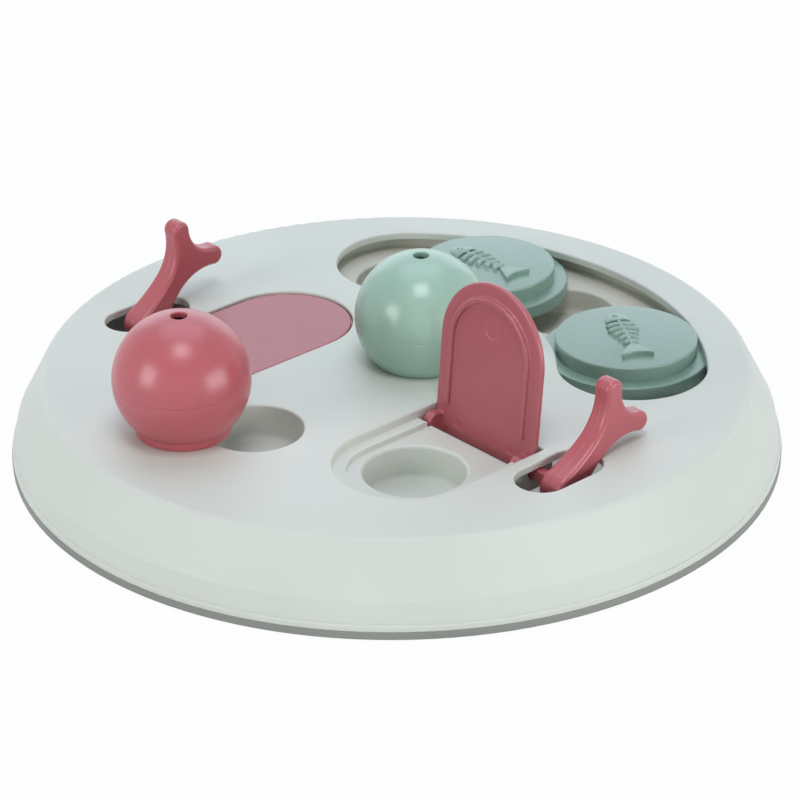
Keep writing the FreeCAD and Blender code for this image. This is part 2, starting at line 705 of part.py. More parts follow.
def recess(which):
    """the open space of one lid recess with its cup, trough, bearings and lever slot"""
    name = which + "_recess"
    above = "sizes.board_height + 1"
    seat = tongue_form(
        name + "_seat",
        "-sizes.recess_back",
        "sizes.recess_reach",
        "sizes.recess_half_width",
        ("worked.ledge_height", above),
    )
    floor = tongue_form(
        name + "_floor",
        "-sizes.recess_back",
        "sizes.recess_reach",
        "worked.inner_recess_radius",
        ("worked.recess_floor", above),
    )
    trough = spread(
        name + "_trough",
        ("-sizes.recess_back", "worked.trough_front"),
        "sizes.recess_half_width",
        ("worked.trough_floor", above),
    )
    corner_y = "-(worked.knuckle_pocket_side + sizes.knuckle_pocket_round)"
    pocket = block(
        name + "_pocket",
        ("-sizes.recess_back", "worked.knuckle_pocket_front"),
        ("-sizes.recess_half_width", corner_y),
        ("worked.trough_floor", above),
    )
    pocket_corner = rod(
        name + "_pocket_corner",
        "sizes.knuckle_pocket_round",
        "worked.trough_floor",
        above,
        x="worked.knuckle_pocket_front - sizes.knuckle_pocket_round",
        y=corner_y,
    )
    treat = cup(
        name + "_cup",
        "sizes.treat_cup_radius",
        "worked.treat_cup_floor",
        x="sizes.treat_cup_x",
        rounding="treat_cup_round",
        mouth="worked.recess_floor",
    )
    pin_hole = axle(
        name + "_pin_hole",
        "sizes.pin_radius + sizes.pin_gap",
        "-(sizes.recess_half_width + sizes.pin_length + sizes.pin_gap)",
        "-sizes.recess_half_width + 1",
        z="worked.hinge_height",
    )
    bar_hole = axle(
        name + "_bar_hole",
        "worked.bar_hole_radius",
        "sizes.recess_half_width - 1",
        "worked.slot_middle",
        z="worked.hinge_height",
    )
    slot = slot_form(name + "_slot", "sizes.slot_half_width", ("worked.plate_under - 1", above))
    deep = [trough, pocket, pocket_corner, pin_hole, bar_hole]
    return unit_place(fuse(name, [seat, floor, treat, slot] + deep), which)


def top_shell():
    """the whole board moulding"""
    bosses = rods_at_lugs(
        "boss",
        "sizes.lug_radius",
        "worked.track_floor",
        "worked.plate_under + sizes.plate_thickness / 2",
    )
    wells = []
    hollows = []
    for which in ("free", "filled"):
        x = f"sizes.{which}_cup_x"
        y = f"sizes.{which}_cup_y"
        wells.append(
            rod(
                which + "_cup_wall",
                "sizes.ball_cup_radius + sizes.cup_wall",
                "worked.ball_cup_floor - sizes.cup_wall",
                "worked.plate_under + sizes.plate_thickness / 2",
                x=x,
                y=y,
            )
        )
        hollows.append(
            cup(
                which + "_cup",
                "sizes.ball_cup_radius",
                "worked.ball_cup_floor",
                x=x,
                y=y,
                rounding="ball_cup_round",
            )
        )
    basins = [basin(which) for which in ("front", "rear")]
    tray_room = arc_form(
        "tray_room",
        "worked.tray_half_width + sizes.tray_gap",
        ("worked.tray_under - 1", "worked.plate_under"),
    )
    braces = cut("braces", fuse("brace_blank", gussets() + bosses), tray_room)
    body = fuse("shell_body", [shell_skin(), braces] + wells + basins)
    pilots = rods_at_lugs(
        "pilot",
        "sizes.screw_shank_radius + sizes.pilot_gap",
        "worked.track_floor - 1",
        "worked.tray_under + sizes.screw_length + sizes.pilot_gap",
    )
    openings = [recess(which) for which in ("front", "rear")]
    mouth = arc_form(
        "track_mouth",
        "sizes.mouth_half_width",
        ("worked.plate_under - 1", "sizes.board_height + 1"),
    )
    space = fuse("shell_space", hollows + openings + [mouth] + pilots)
    raw = cut("shell_cut", body, space)
    doc.recompute()
    top = size("board_height")
    skirt = size("top_radius") - 2 * size("top_round")

    def is_mouth(edge):
        box = edge.BoundBox
        reach = max(abs(box.XMin), abs(box.XMax), abs(box.YMin), abs(box.YMax))
        return lies_level(edge, top) and reach < skirt and not is_cup_rim(edge)

    def is_cup_rim(edge):
        return is_rim(edge, derived("rim_contact"), top)

    shell = round_edges("shell", raw, size("mouth_round"), is_mouth)
    return finish(shell, "top_shell")


# Tray: the track floor with its walls, cups and lugs.


def track_tray():
    """floor, side walls, three cups and screw lugs of the arc track"""
    outer = arc_form(
        "tray_outer", "worked.tray_half_width", ("worked.tray_under", "worked.plate_under")
    )
    inner = arc_form(
        "tray_inner",
        "sizes.track_half_width",
        ("worked.track_floor", "worked.plate_under + 1"),
    )
    lugs = rods_at_lugs("lug", "sizes.lug_radius", "worked.tray_under", "worked.track_floor")
    wells = []
    hollows = []
    for i, angle in enumerate(("-sizes.track_half_angle", "0", "sizes.track_half_angle")):
        x = f"sizes.track_radius * cos({angle})"
        y = f"sizes.track_radius * sin({angle})"
        wells.append(
            rod(
                f"track_well_{i + 1}",
                "sizes.track_cup_radius + sizes.tray_wall",
                "worked.track_cup_floor - sizes.tray_wall",
                "worked.track_floor",
                x=x,
                y=y,
            )
        )
        hollows.append(
            cup(
                f"track_cup_{i + 1}",
                "sizes.track_cup_radius",
                "worked.track_cup_floor",
                x=x,
                y=y,
                rounding="track_cup_round",
                mouth="worked.track_floor",
            )
        )
    holes = rods_at_lugs(
        "lug_hole",
        "sizes.screw_shank_radius + sizes.screw_hole_gap",
        "worked.tray_under - 1",
        "worked.track_floor + 1",
    )
    body = fuse("tray_body", [outer] + lugs + wells)
    return finish(cut("tray", body, fuse("tray_space", [inner] + hollows + holes)), "track_tray")


def tray_screws():
    """pan-head screws with a cross recess, one at every lug"""
    screws = []
    head_low = "worked.tray_under - sizes.screw_head_height"
    recess_top = f"{head_low} + sizes.screw_recess_depth"
    arm = "sizes.screw_head_radius * 0.6"
    half = "sizes.screw_recess_width / 2"
    for i, (x, y) in enumerate(lug_places(), start=1):
        top = "worked.tray_under + sizes.screw_length"
        shank = rod(f"shank_{i}", "sizes.screw_shank_radius", "worked.tray_under", top, x=x, y=y)
        pan = rod(f"pan_{i}", "sizes.screw_head_radius", head_low, "worked.tray_under", x=x, y=y)
        head = round_edges(
            f"head_{i}",
            pan,
            size("screw_head_height") * 0.45,
            lambda edge: lies_level(edge, derived("tray_under") - size("screw_head_height")),
        )
        cross = [
            block(
                f"cross_{i}_{number}",
                (f"{x} - {reach_x}", f"{x} + {reach_x}"),
                (f"{y} - {reach_y}", f"{y} + {reach_y}"),
                (f"{head_low} - 1", recess_top),
            )
            for number, (reach_x, reach_y) in enumerate(((arm, half), (half, arm)), start=1)
        ]
        screws.append(
            cut(
                f"screw_{i}",
                fuse(f"screw_blank_{i}", [shank, head]),
                fuse(f"screw_cross_{i}", cross),
            )
        )
    group = doc.addObject("Part::Compound", "screw_group")
    group.Links = screws
    return finish(group, "tray_screws")


def non_slip_ring():
    """the ring under the rim, held by its tongue"""
    ring = turned(
        "ring",
        [
            ("worked.rim_inner", "0"),
            ("sizes.ring_radius", "0"),
            ("sizes.ring_radius", "sizes.ring_height"),
            ("worked.tongue_outer", "sizes.ring_height"),
            ("worked.tongue_outer", "worked.tongue_top"),
            ("worked.tongue_inner", "worked.tongue_top"),
            ("worked.tongue_inner", "sizes.ring_height"),
            ("worked.rim_inner", "sizes.ring_height"),
        ],
    )
    return finish(ring, "non_slip_ring")


# Sliders: a hollow puck and the fishbone on it.


def fishbone(name):
    """the fishbone relief on a slider's disc: head, eye, spine, ribs and tail"""
    top = "worked.knob_top"
    level = f"{top} + sizes.bone_lift"
    bones = []
    for i in range(int(size("rib_count"))):
        at = f"(sizes.first_rib - {i} * sizes.rib_pitch)"
        share = f"(1 - sizes.rib_shrink * ({i} - sizes.widest_rib) ^ 2)"
        bend = f"(sizes.rib_span * {share} / sin(sizes.rib_sweep))"
        rib = doc.addObject("Part::Torus", f"{name}_rib_{i + 1}")
        rib.setExpression("Radius1", bend)
        rib.setExpression("Radius2", "sizes.rib_radius")
        rib.setExpression("Angle3", "2 * sizes.rib_sweep")
        put(rib, (f"{at} - {bend}", "0", level), "-sizes.rib_sweep")
        bead = doc.addObject("Part::Sphere", f"{name}_bead_{i + 1}")
        bead.setExpression("Radius", "sizes.bead_radius")
        put(bead, (at, "0", level))
        bones += [rib, bead]
    last = "(sizes.first_rib - sizes.rib_count * sizes.rib_pitch)"
    gills = "(sizes.first_rib + sizes.rib_pitch / 2)"
    spine = doc.addObject("Part::Cylinder", name + "_spine")
    spine.setExpression("Radius", "sizes.spine_radius")
    spine.setExpression("Height", f"{gills} - {last} + 1")
    spine.Placement.Rotation = FreeCAD.Rotation(FreeCAD.Vector(0, 1, 0), 90)
    bones.append(put(spine, (last, "0", level)))

    cheeks = []
    for side, sign in (("left", ""), ("right", "-")):
        middle = f"{sign}(worked.cheek_radius - sizes.head_half_width)"
        low = f"{top} - sizes.slider_wall / 2"
        high = f"{top} + sizes.head_rise + 1"
        cheeks.append(
            rod(f"{name}_cheek_{side}", "worked.cheek_radius", low, high, x=gills, y=middle)
        )
    brow = whole_ball(name + "_brow", "worked.brow_radius", "0")
    put(brow, (gills, "0", f"{top} + sizes.head_rise - worked.brow_radius"))
    front = block(
        name + "_front",
        (gills, f"{gills} + sizes.head_length + 1"),
        ("-sizes.head_half_width - 1", "sizes.head_half_width + 1"),
        (low, high),
    )
    lens = common(name + "_lens", cheeks[0], cheeks[1])
    skull = common(name + "_skull", common(name + "_half_lens", lens, front), brow)
    eye = []
    for part, radius in (("ring", "sizes.eye_radius"), ("dot", "sizes.eye_dot")):
        eye.append(
            rod(
                f"{name}_eye_{part}",
                radius,
                f"{top} + sizes.head_rise * 0.4",
                f"{top} + sizes.head_rise + 1",
                x=f"{gills} + sizes.head_length * 0.55",
                y="sizes.head_half_width * 0.22",
            )
        )
    bones.append(cut(name + "_head", skull, cut(name + "_eye", eye[0], eye[1])))

    root = f"({last} + sizes.rib_pitch)"
    fan = rod(
        name + "_fan",
        "sizes.tail_reach",
        f"{top} - sizes.slider_wall / 2",
        f"{top} + sizes.tail_rise",
        x=root,
    )
    fan.setExpression("Angle", "2 * sizes.tail_spread")
    fan.setExpression(".Placement.Rotation.Angle", "180 - sizes.tail_spread")
    hollow = rod(
        name + "_hollow",
        "sizes.tail_notch",
        f"{top} - sizes.slider_wall",
        f"{top} + sizes.tail_rise + 1",
        x="sizes.tail_notch_place - sizes.tail_notch",
    )
    bones.append(cut(name + "_tail", fan, hollow))
    return fuse(name, bones)


def slider(which):
    """one puck: disc above the lip, flange under it, hollow from below, with its fish"""
    puck = turned(
        which + "_puck",
        [
            ("0", "worked.knob_top"),
            ("sizes.knob_radius", "worked.knob_top"),
            ("sizes.knob_radius", "worked.flange_top"),
            ("sizes.flange_radius", "worked.flange_top"),
            ("sizes.flange_radius", "worked.flange_bottom"),
            ("worked.flange_core", "worked.flange_bottom"),
            ("worked.flange_core", "worked.flange_core_top"),
            ("worked.knob_core", "worked.flange_core_top"),
            ("worked.knob_core", "worked.knob_core_top"),
            ("0", "worked.knob_core_top"),
        ],
    )
    round_rims(
        puck,
        [
            ("knob_radius", "knob_top", "knob_round"),
            ("flange_radius", "flange_top", "flange_round"),
        ],
    )
    puck.setExpression(".Placement.Rotation.Angle", "sizes.rib_sweep")
    angle = f"sizes.{which}_slider_angle"
    at = (f"sizes.track_radius * cos({angle})", f"sizes.track_radius * sin({angle})", "0")
    whole = fuse(which + "_slider_body", [puck, fishbone(which + "_fish")])
    return finish(put(whole, at, f"sizes.{which}_fish_turn"), which + "_slider")


# Balls: two halves with a stepped seam, a hole on top and an open collar below.


def half_ball(name, radius, lower, z):
    """half of a full ball about a height"""
    half = doc.addObject("Part::Sphere", name)
    half.setExpression("Radius", radius)
    half.Angle1 = -90 if lower else 0
    half.Angle2 = 0 if lower else 90
    return put(half, ("0", "0", z))


def whole_ball(name, radius, z):
    """a full ball about a height"""
    ball = doc.addObject("Part::Sphere", name)
    ball.setExpression("Radius", radius)
    return put(ball, ("0", "0", z))


def ball(colour, x, y, z):
    """both halves of one ball, its middle at the given place"""
    inner = "(sizes.ball_radius - sizes.ball_wall)"
    middle = "(sizes.ball_radius - sizes.ball_wall / 2)"
    base_name = colour + "_ball_base"
    foot = "-sizes.collar_drop"
    step_gap = "sizes.ball_seat_gap"
    collar = rod(base_name + "_collar", "worked.collar_radius", foot, "-sizes.ball_radius / 2")
    bowl = half_ball(base_name + "_bowl", "sizes.ball_radius", True, "0")
    cap = block(
        base_name + "_trim",
        ("-sizes.ball_radius", "sizes.ball_radius"),
        ("-sizes.ball_radius", "sizes.ball_radius"),
        ("-2 * sizes.ball_radius", "-sizes.collar_top"),
    )
    blank = fuse(base_name + "_blank", [cut(base_name + "_cut", bowl, cap), collar])
    bore = rod(
        base_name + "_bore",
        "worked.collar_radius - sizes.ball_wall",
        f"{foot} - 1",
        "0",
    )
    rebate = rod(base_name + "_rebate", f"{middle} + {step_gap}", f"-sizes.seam_step - {step_gap}", "1")
    space = fuse(base_name + "_space", [whole_ball(base_name + "_inside", inner, "0"), bore, rebate])
    base = put(cut(base_name, blank, space), (x, y, z))
    finish(base, base_name)

    top_name = colour + "_ball_top"
    dome = half_ball(top_name + "_dome", "sizes.ball_radius", False, "0")
    ring = rod(top_name + "_step", middle, "-sizes.seam_step", "0.5")
    blank = fuse(top_name + "_blank", [dome, ring])
    hole = rod(top_name + "_hole", "sizes.ball_hole_radius", "0", "2 * sizes.ball_radius")
    space = fuse(top_name + "_space", [whole_ball(top_name + "_inside", inner, "0"), hole])
    raw = cut(top_name + "_cut", blank, space)
    doc.recompute()
    rim = (size("ball_radius") ** 2 - size("ball_hole_radius") ** 2) ** 0.5
    rounded = round_edges(
        top_name,
        raw,
        size("ball_wall") / 5,
        lambda edge: is_rim(edge, size("ball_hole_radius"), rim),
    )
    put(rounded, (x, y, z))
    finish(rounded, top_name)


# Lids and levers, each in its own frame about the hinge axis, closed, then turned.


def hinge_turn(thing, which, lean, along="0"):
    """carry a piece that is drawn about its hinge to its place, turned by lean about it"""
    turn = "180" if which == "front" else "0"
    sign = "-" if which == "front" else "+"
    middle = f"sizes.{which}_hinge_y {sign} {along}"
    place = f"vector(sizes.{which}_hinge_x; {middle}; worked.hinge_height)"
    tilt = f"rotation(vector(0; 0; 1); {turn}) * rotation(vector(0; 1; 0); -({lean}))"
    thing.setExpression("Placement", f"placement({place}; {tilt})")
    return thing


def lid(which, lean):
    """one lid with its rib, the knuckle with the pin and the one with the square socket"""
    name = which + "_lid"
    under = "(worked.lid_under - worked.hinge_height)"
    upper = "(worked.lid_top - worked.hinge_height)"
    plate = tongue_form(
        name + "_plate", "-sizes.lid_back", "sizes.recess_reach", "worked.lid_radius", (under, upper)
    )
    doc.recompute()
    faces = [derived(level) - derived("hinge_height") for level in ("lid_under", "lid_top")]
    rounded = round_edges(
        name + "_rounded",
        plate,
        size("lid_round"),
        lambda edge: any(lies_level(edge, level) for level in faces),
    )
    rib_low = f"{under} - sizes.lid_rib_height"
    rib_span = (rib_low, f"{under} + sizes.lid_thickness / 2")
    rib = cut(
        name + "_rib_cut",
        tongue_form(
            name + "_rib_outer",
            "sizes.lid_rib_end",
            "sizes.recess_reach",
            "worked.rib_outer",
            rib_span,
        ),
        tongue_form(
            name + "_rib_inner",
            "sizes.lid_rib_end - 1",
            "sizes.recess_reach",
            "worked.rib_inner",
            (f"{rib_low} - 1", f"{under} + sizes.lid_thickness"),
        ),
    )
    rib_foot = faces[0] - size("lid_rib_height")
    rib = round_edges(
        name + "_rib", rib, size("lid_round"), lambda edge: lies_level(edge, rib_foot)
    )
    inner_end = "-worked.lid_radius + sizes.knuckle_length"
    knuckle = axle(name + "_knuckle", "sizes.knuckle_radius", "-worked.lid_radius", inner_end)
    pin_end = "-(sizes.recess_half_width + sizes.pin_length)"
    pin = axle(name + "_pin", "sizes.pin_radius", pin_end, inner_end)
    socket = axle(
        name + "_socket",
        "sizes.socket_radius",
        "worked.lid_radius - sizes.socket_length",
        "worked.lid_radius",
    )
    bore = block(
        name + "_bore",
        ("-(sizes.bar_side / 2 + sizes.bar_gap)", "sizes.bar_side / 2 + sizes.bar_gap"),
        ("worked.bar_end - sizes.bar_gap", "worked.lid_radius + 1"),
        ("-(sizes.bar_side / 2 + sizes.bar_gap)", "sizes.bar_side / 2 + sizes.bar_gap"),
    )
    marks = []
    spots = (
        ("ejector", "sizes.recess_reach + worked.rib_inner * 0.45", "0"),
        ("small_ejector", "sizes.small_ejector_radius", "-worked.rib_inner * 0.75"),
        ("small_ejector", "sizes.small_ejector_radius", "worked.rib_inner * 0.75"),
    )
    for i, (kind, x, y) in enumerate(spots, start=1):
        marks.append(
            rod(
                f"{name}_mark_{i}",
                f"sizes.{kind}_radius",
                f"{under} - 1",
                f"{under} + sizes.ejector_depth",
                x=x,
                y=y,
            )
        )
    blank = cut(name + "_marked", fuse(name + "_blank", [rounded, rib]), fuse(name + "_marks", marks))
    whole = fuse(name + "_whole", [blank, knuckle, pin, socket])
    return finish(hinge_turn(cut(name, whole, bore), which, lean), name)


def fishtail(body, name):
    """sketch of the lever's outline: round foot, waist, flanks, two lobes and a hollow"""
    drawing = Drawing(body, name, "XZ_Plane")
    shift = size("lever_offset")
    waist = (size("neck_length"), size("neck_half_width"))
    foot_radius = size("foot_radius")
    foot_flank_radius = derived("foot_flank_radius")
    lobe = (size("lobe_reach"), size("lobe_half_span"))
    lobe_radius = size("lobe_radius")
    flank_radius = derived("flank_radius")
    hollow_radius = derived("hollow_radius")
    flank = (waist[0], waist[1] + flank_radius)
    foot_flank = (waist[0], waist[1] + foot_flank_radius)
    hollow = (derived("hollow_centre"), 0.0)

    def towards(start, end, reach):
        """the point at a distance from start in the direction of end"""
        run = (end[0] - start[0], end[1] - start[1])
        length = (run[0] ** 2 + run[1] ** 2) ** 0.5
        return (start[0] + run[0] * reach / length, start[1] + run[1] * reach / length)

    def between(centre, start, end, radius):
        """the middle of a short arc about a centre"""
        return towards(centre, ((start[0] + end[0]) / 2, (start[1] + end[1]) / 2), radius)

    heel = towards((0, 0), foot_flank, foot_radius)
    shoulder = towards(flank, lobe, flank_radius)
    inside = towards(lobe, hollow, lobe_radius)
    ankle = between(foot_flank, heel, waist, foot_flank_radius)
    bend = between(flank, waist, shoulder, flank_radius)
    outermost = towards(hollow, lobe, hollow_radius + 2 * lobe_radius)

    def at(point, side):
        """a point of the half outline, on one side of the lever's middle line"""
        return (point[0], shift + side * point[1])

    halves = {}
    for side in (1, -1):
        halves[side] = (
            drawing.arc(at(heel, side), at(waist, side), at(ankle, side)),
            drawing.arc(at(waist, side), at(shoulder, side), at(bend, side)),
            drawing.arc(at(shoulder, side), at(inside, side), at(outermost, side)),
        )
    dip = drawing.arc(at(inside, 1), at(inside, -1), at((hollow[0] - hollow_radius, 0), 1))
    base = drawing.arc(at(heel, 1), at(heel, -1), at((-foot_radius, 0), 1))
    drawing.settle_fishtail(halves, dip, base)
    return drawing.sketch


def lever(which, lean):
    """one fishtail lever, thinner towards the tail; its square bar lies square to the lid"""
    name = which + "_lever"
    body = doc.addObject("PartDesign::Body", name + "_tail")
    sketch = fishtail(body, name + "_outline")
    doc.recompute()
    pad = body.newObject("PartDesign::Pad", name + "_pad")
    pad.Profile = sketch
    pad.setExpression("Length", "sizes.lever_base_thickness")
    pad.Midplane = True
    doc.recompute()
    base_half = "(sizes.lever_base_thickness / 2)"
    tail_half = "(sizes.lever_tail_thickness / 2)"
    room = "(sizes.lobe_half_span + sizes.lobe_radius + sizes.foot_radius + sizes.lever_offset)"
    taper = doc.addObject("Part::Wedge", name + "_taper")
    for prop, formula in (
        ("Ymin", "-(sizes.foot_radius + 1)"),
        ("Ymax", "sizes.lobe_reach + sizes.lobe_radius + 1"),
        ("Xmin", f"-{base_half}"),
        ("Xmax", base_half),
        ("X2min", f"-{tail_half}"),
        ("X2max", tail_half),
        ("Zmin", f"-{room}"),
        ("Zmax", room),
        ("Z2min", f"-{room}"),
        ("Z2max", room),
    ):
        taper.setExpression(prop, formula)
    taper.Placement.Rotation = FreeCAD.Rotation(UP, -90)
    form = common(name + "_form", body, taper)
    rounded = round_edges(
        name + "_rounded",
        form,
        size("lever_round"),
        lambda edge: edge.BoundBox.YMin * edge.BoundBox.YMax > 0,
    )
    half = "sizes.bar_side / 2"
    turn = "sizes.lever_angle"
    section = ("0", "sizes.bar_side")
    bar = block(name + "_bar", section, ("worked.bar_end", "worked.slot_middle"), section)
    bar.Placement.Rotation = FreeCAD.Rotation(FreeCAD.Vector(0, 1, 0), size("lever_angle"))
    corner = (
        f"-{half} * (cos({turn}) + sin({turn}))",
        "worked.bar_end - worked.slot_middle",
        f"{half} * (sin({turn}) - cos({turn}))",
    )
    whole = fuse(name, [rounded, put(bar, corner, turn)])
    return finish(hinge_turn(whole, which, lean, "worked.slot_middle"), name)


top_shell()
track_tray()
tray_screws()
non_slip_ring()
slider("back")
slider("right")
ball("pink", "sizes.pink_ball_x", "sizes.pink_ball_y", "worked.standing_height")
ball("green", "sizes.filled_cup_x", "sizes.filled_cup_y", "worked.seated_height")
lid("front", "sizes.lid_open_angle")
lid("rear", "0")
lever("front", "sizes.lid_open_angle + sizes.lever_angle")
lever("rear", "sizes.lever_angle")
doc.recompute()

os.makedirs("parts", exist_ok=True)
for thing in doc.Objects:
    if "Invalid" in thing.State or "Error" in thing.State:
        raise SystemExit(f"{thing.Name} failed: {thing.State}")
for piece in PIECES:
    shape = piece.Shape
    if shape.isNull() or not shape.isValid():
        raise SystemExit(f"{piece.Label} has no valid shape")
    print(f"{piece.Label:18s} solids {len(shape.Solids)} volume {shape.Volume:10.1f}")
for piece in PIECES:
    piece.Shape.exportStep(f"parts/{piece.Label}.step")
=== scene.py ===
# %% [markdown]
# # A cat activity board, dressed in Blender
#
# The board is a round plastic moulding with two hollow balls in cups, two lids worked by
# fishtail levers, and two sliders in an arc-shaped track. The solid model gives every
# piece its size and place. This lesson loads it as a fixed frame, makes the pieces whose
# surface needs more than the solid has, and gives each plastic its finish.

import math

import bmesh
import bpy
from mathutils import Matrix, Vector


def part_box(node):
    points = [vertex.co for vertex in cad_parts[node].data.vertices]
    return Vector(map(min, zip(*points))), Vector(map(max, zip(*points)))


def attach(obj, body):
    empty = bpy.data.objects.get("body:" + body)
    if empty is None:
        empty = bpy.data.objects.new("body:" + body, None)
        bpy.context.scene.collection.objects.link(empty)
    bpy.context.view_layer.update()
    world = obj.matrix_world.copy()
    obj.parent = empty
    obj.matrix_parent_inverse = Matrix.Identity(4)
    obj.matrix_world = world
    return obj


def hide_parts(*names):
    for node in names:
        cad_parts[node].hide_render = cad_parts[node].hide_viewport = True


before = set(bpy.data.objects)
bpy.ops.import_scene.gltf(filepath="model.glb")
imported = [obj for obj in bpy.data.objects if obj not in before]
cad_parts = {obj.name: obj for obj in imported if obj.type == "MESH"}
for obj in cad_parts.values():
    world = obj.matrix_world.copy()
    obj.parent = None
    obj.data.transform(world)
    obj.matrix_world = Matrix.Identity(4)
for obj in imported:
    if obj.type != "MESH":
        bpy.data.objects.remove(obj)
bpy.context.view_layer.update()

# %% [markdown]
# ## Camera
#
# The picture was taken from about four board widths away, 27.6 degrees above the table,
# with the board's track to the right and away. A long lens keeps the far rim almost as
# wide as the near one. The camera could be aimed at a point by a constraint, but its place
# was solved from the board's rims, so it is set here as one point, three angles and a
# focal length.

# %% Set the camera
MM = 0.001
CAMERA_PLACE = Vector((-541.7, -603.2, 436.4)) * MM
CAMERA_DOWN = math.radians(27.609)
CAMERA_HEADING = math.radians(-42.0)
CAMERA_ROLL = math.radians(-0.507)

camera_data = bpy.data.cameras.new("camera")
camera_data.lens = 137.594
camera_data.sensor_width = 36.0
camera_data.clip_start = 0.05
camera = bpy.data.objects.new("camera", camera_data)
bpy.context.scene.collection.objects.link(camera)
heading = Matrix.Rotation(CAMERA_HEADING, 4, "Z")
tilt = Matrix.Rotation(math.pi / 2 - CAMERA_DOWN, 4, "X")
roll = Matrix.Rotation(CAMERA_ROLL, 4, "Z")
camera.matrix_world = Matrix.Translation(CAMERA_PLACE) @ heading @ tilt @ roll
bpy.context.scene.camera = camera
print("camera looks along", camera.matrix_world.to_3x3() @ Vector((0, 0, -1)))

# %% [markdown]
# ## Shader sums as plain sums
#
# A finish is a small sum: a noise times a strength plus a base value. Blender wants one
# node per step. The nodes could be placed and linked one by one, which hides the sum. The
# class below wraps an output so that `+`, `-` and `*` make those nodes, and one method of
# `Finish` adds any other node by its type.

# %% A wrapper round a node's output


class Wire:
    """one output in a material, which plain arithmetic can go on from"""

    def __init__(self, tree, socket):
        self.tree = tree
        self.socket = socket

    def math(self, operation, *others):
        """one Math node with this wire as its first value"""
        node = self.tree.nodes.new("ShaderNodeMath")
        node.operation = operation
        for place, value in enumerate((self,) + others):
            plug(self.tree, node.inputs[place], value)
        return Wire(self.tree, node.outputs[0])

    def __add__(self, other):
        return self.math("ADD", other)

    def __radd__(self, other):
        return self.math("ADD", other)

    def __sub__(self, other):
        return self.math("SUBTRACT", other)

    def __rsub__(self, other):
        return (self * -1.0) + other

    def __mul__(self, other):
        return self.math("MULTIPLY", other)

    def __rmul__(self, other):
        return self.math("MULTIPLY", other)

    def between(self, low, high):
        """0 at low, 1 at high, and a smooth step in between"""
        node = self.tree.nodes.new("ShaderNodeMapRange")
        node.interpolation_type = "SMOOTHSTEP"
        for name, value in (("Value", self), ("From Min", low), ("From Max", high)):
            plug(self.tree, node.inputs[name], value)
        return Wire(self.tree, node.outputs["Result"])


def plug(tree, socket, value):
    """set a socket to a number, or link it to a wire"""
    if isinstance(value, Wire):
        tree.links.new(value.socket, socket)
    else:
        socket.default_value = value


# %% [markdown]
# ## What every moulded plastic shares
#
# Injection-moulded plastic is not one flat colour. The pigment flows with the melt, so
# the colour drifts by a percent or two over centimetres. The steel tool was spark-eroded
# to a fine grain, which shows as a bump of a few thousandths of a millimetre and makes the
# gloss uneven. Handling polishes some patches. A photographed texture could show all this,
# but it would need a flat map of each piece. Here each is one noise on Object coordinates,
# which stay with a piece when it moves.

# %% The plastic recipe


class Finish:
    """a material under construction"""

    def __init__(self, name):
        self.material = bpy.data.materials.new(name)
        self.material.use_nodes = True
        self.tree = self.material.node_tree
        self.shader = self.tree.nodes["Principled BSDF"]
        self.place = self.add("ShaderNodeTexCoord", out="Object")

    def add(self, kind, out=0, settings=None, **values):
        """any node: its type, its settings, then its values or links"""
        node = self.tree.nodes.new(kind)
        for name, value in (settings or {}).items():
            setattr(node, name, value)
        for name, value in values.items():
            plug(self.tree, node.inputs[name.replace("_", " ")], value)
        return Wire(self.tree, node.outputs[out])

    def noise(self, size, detail=2.0, roughness=0.5):
        """a cloudy value from 0 to 1 whose spots are about size metres wide"""
        return self.add(
            "ShaderNodeTexNoise",
            Vector=self.place,
            Scale=1.0 / size,
            Detail=detail,
            Roughness=roughness,
        )

    def part(self, axis):
        """one coordinate of the surface point, in metres"""
        return self.add("ShaderNodeSeparateXYZ", out=axis, Vector=self.place)

    def mix(self, share, first, second):
        """from the first colour to the second as share goes from 0 to 1"""
        node = self.tree.nodes.new("ShaderNodeMix")
        node.data_type = "RGBA"
        colours = [socket for socket in node.inputs if socket.type == "RGBA"]
        plug(self.tree, node.inputs["Factor"], share)
        plug(self.tree, colours[0], first)
        plug(self.tree, colours[1], second)
        made = [socket for socket in node.outputs if socket.type == "RGBA"]
        return Wire(self.tree, made[0])

    def feed(self, **values):
        """set the shader's own sockets"""
        for name, value in values.items():
            plug(self.tree, self.shader.inputs[name.replace("_", " ")], value)
        return self


def linear(red, green, blue):
    """a colour as seen on screen, 0 to 255, in the shader's own scale"""
    out = []
    for part in (red, green, blue):
        share = part / 255
        out.append(share / 12.92 if share <= 0.04045 else ((share + 0.055) / 1.055) ** 2.4)
    return (*out, 1.0)


DRIFT_SPOT = 50 * MM
DRIFT_EDGES = (0.3, 0.7)
HANDLED_SPOT = 12 * MM
HANDLED_GLOSS = 0.06
GRAIN_SPOT = 0.35 * MM
GRAIN_DEPTH = 0.003 * MM
GRAIN_GLOSS = 0.02
RIPPLE_SPOT = 20 * MM
RIPPLE_SHARE = 3.0
PARTING_EDGES = (0.1 * MM, 0.3 * MM)
PARTING_HEIGHT = 0.06 * MM
POLYMER_IOR = 1.54


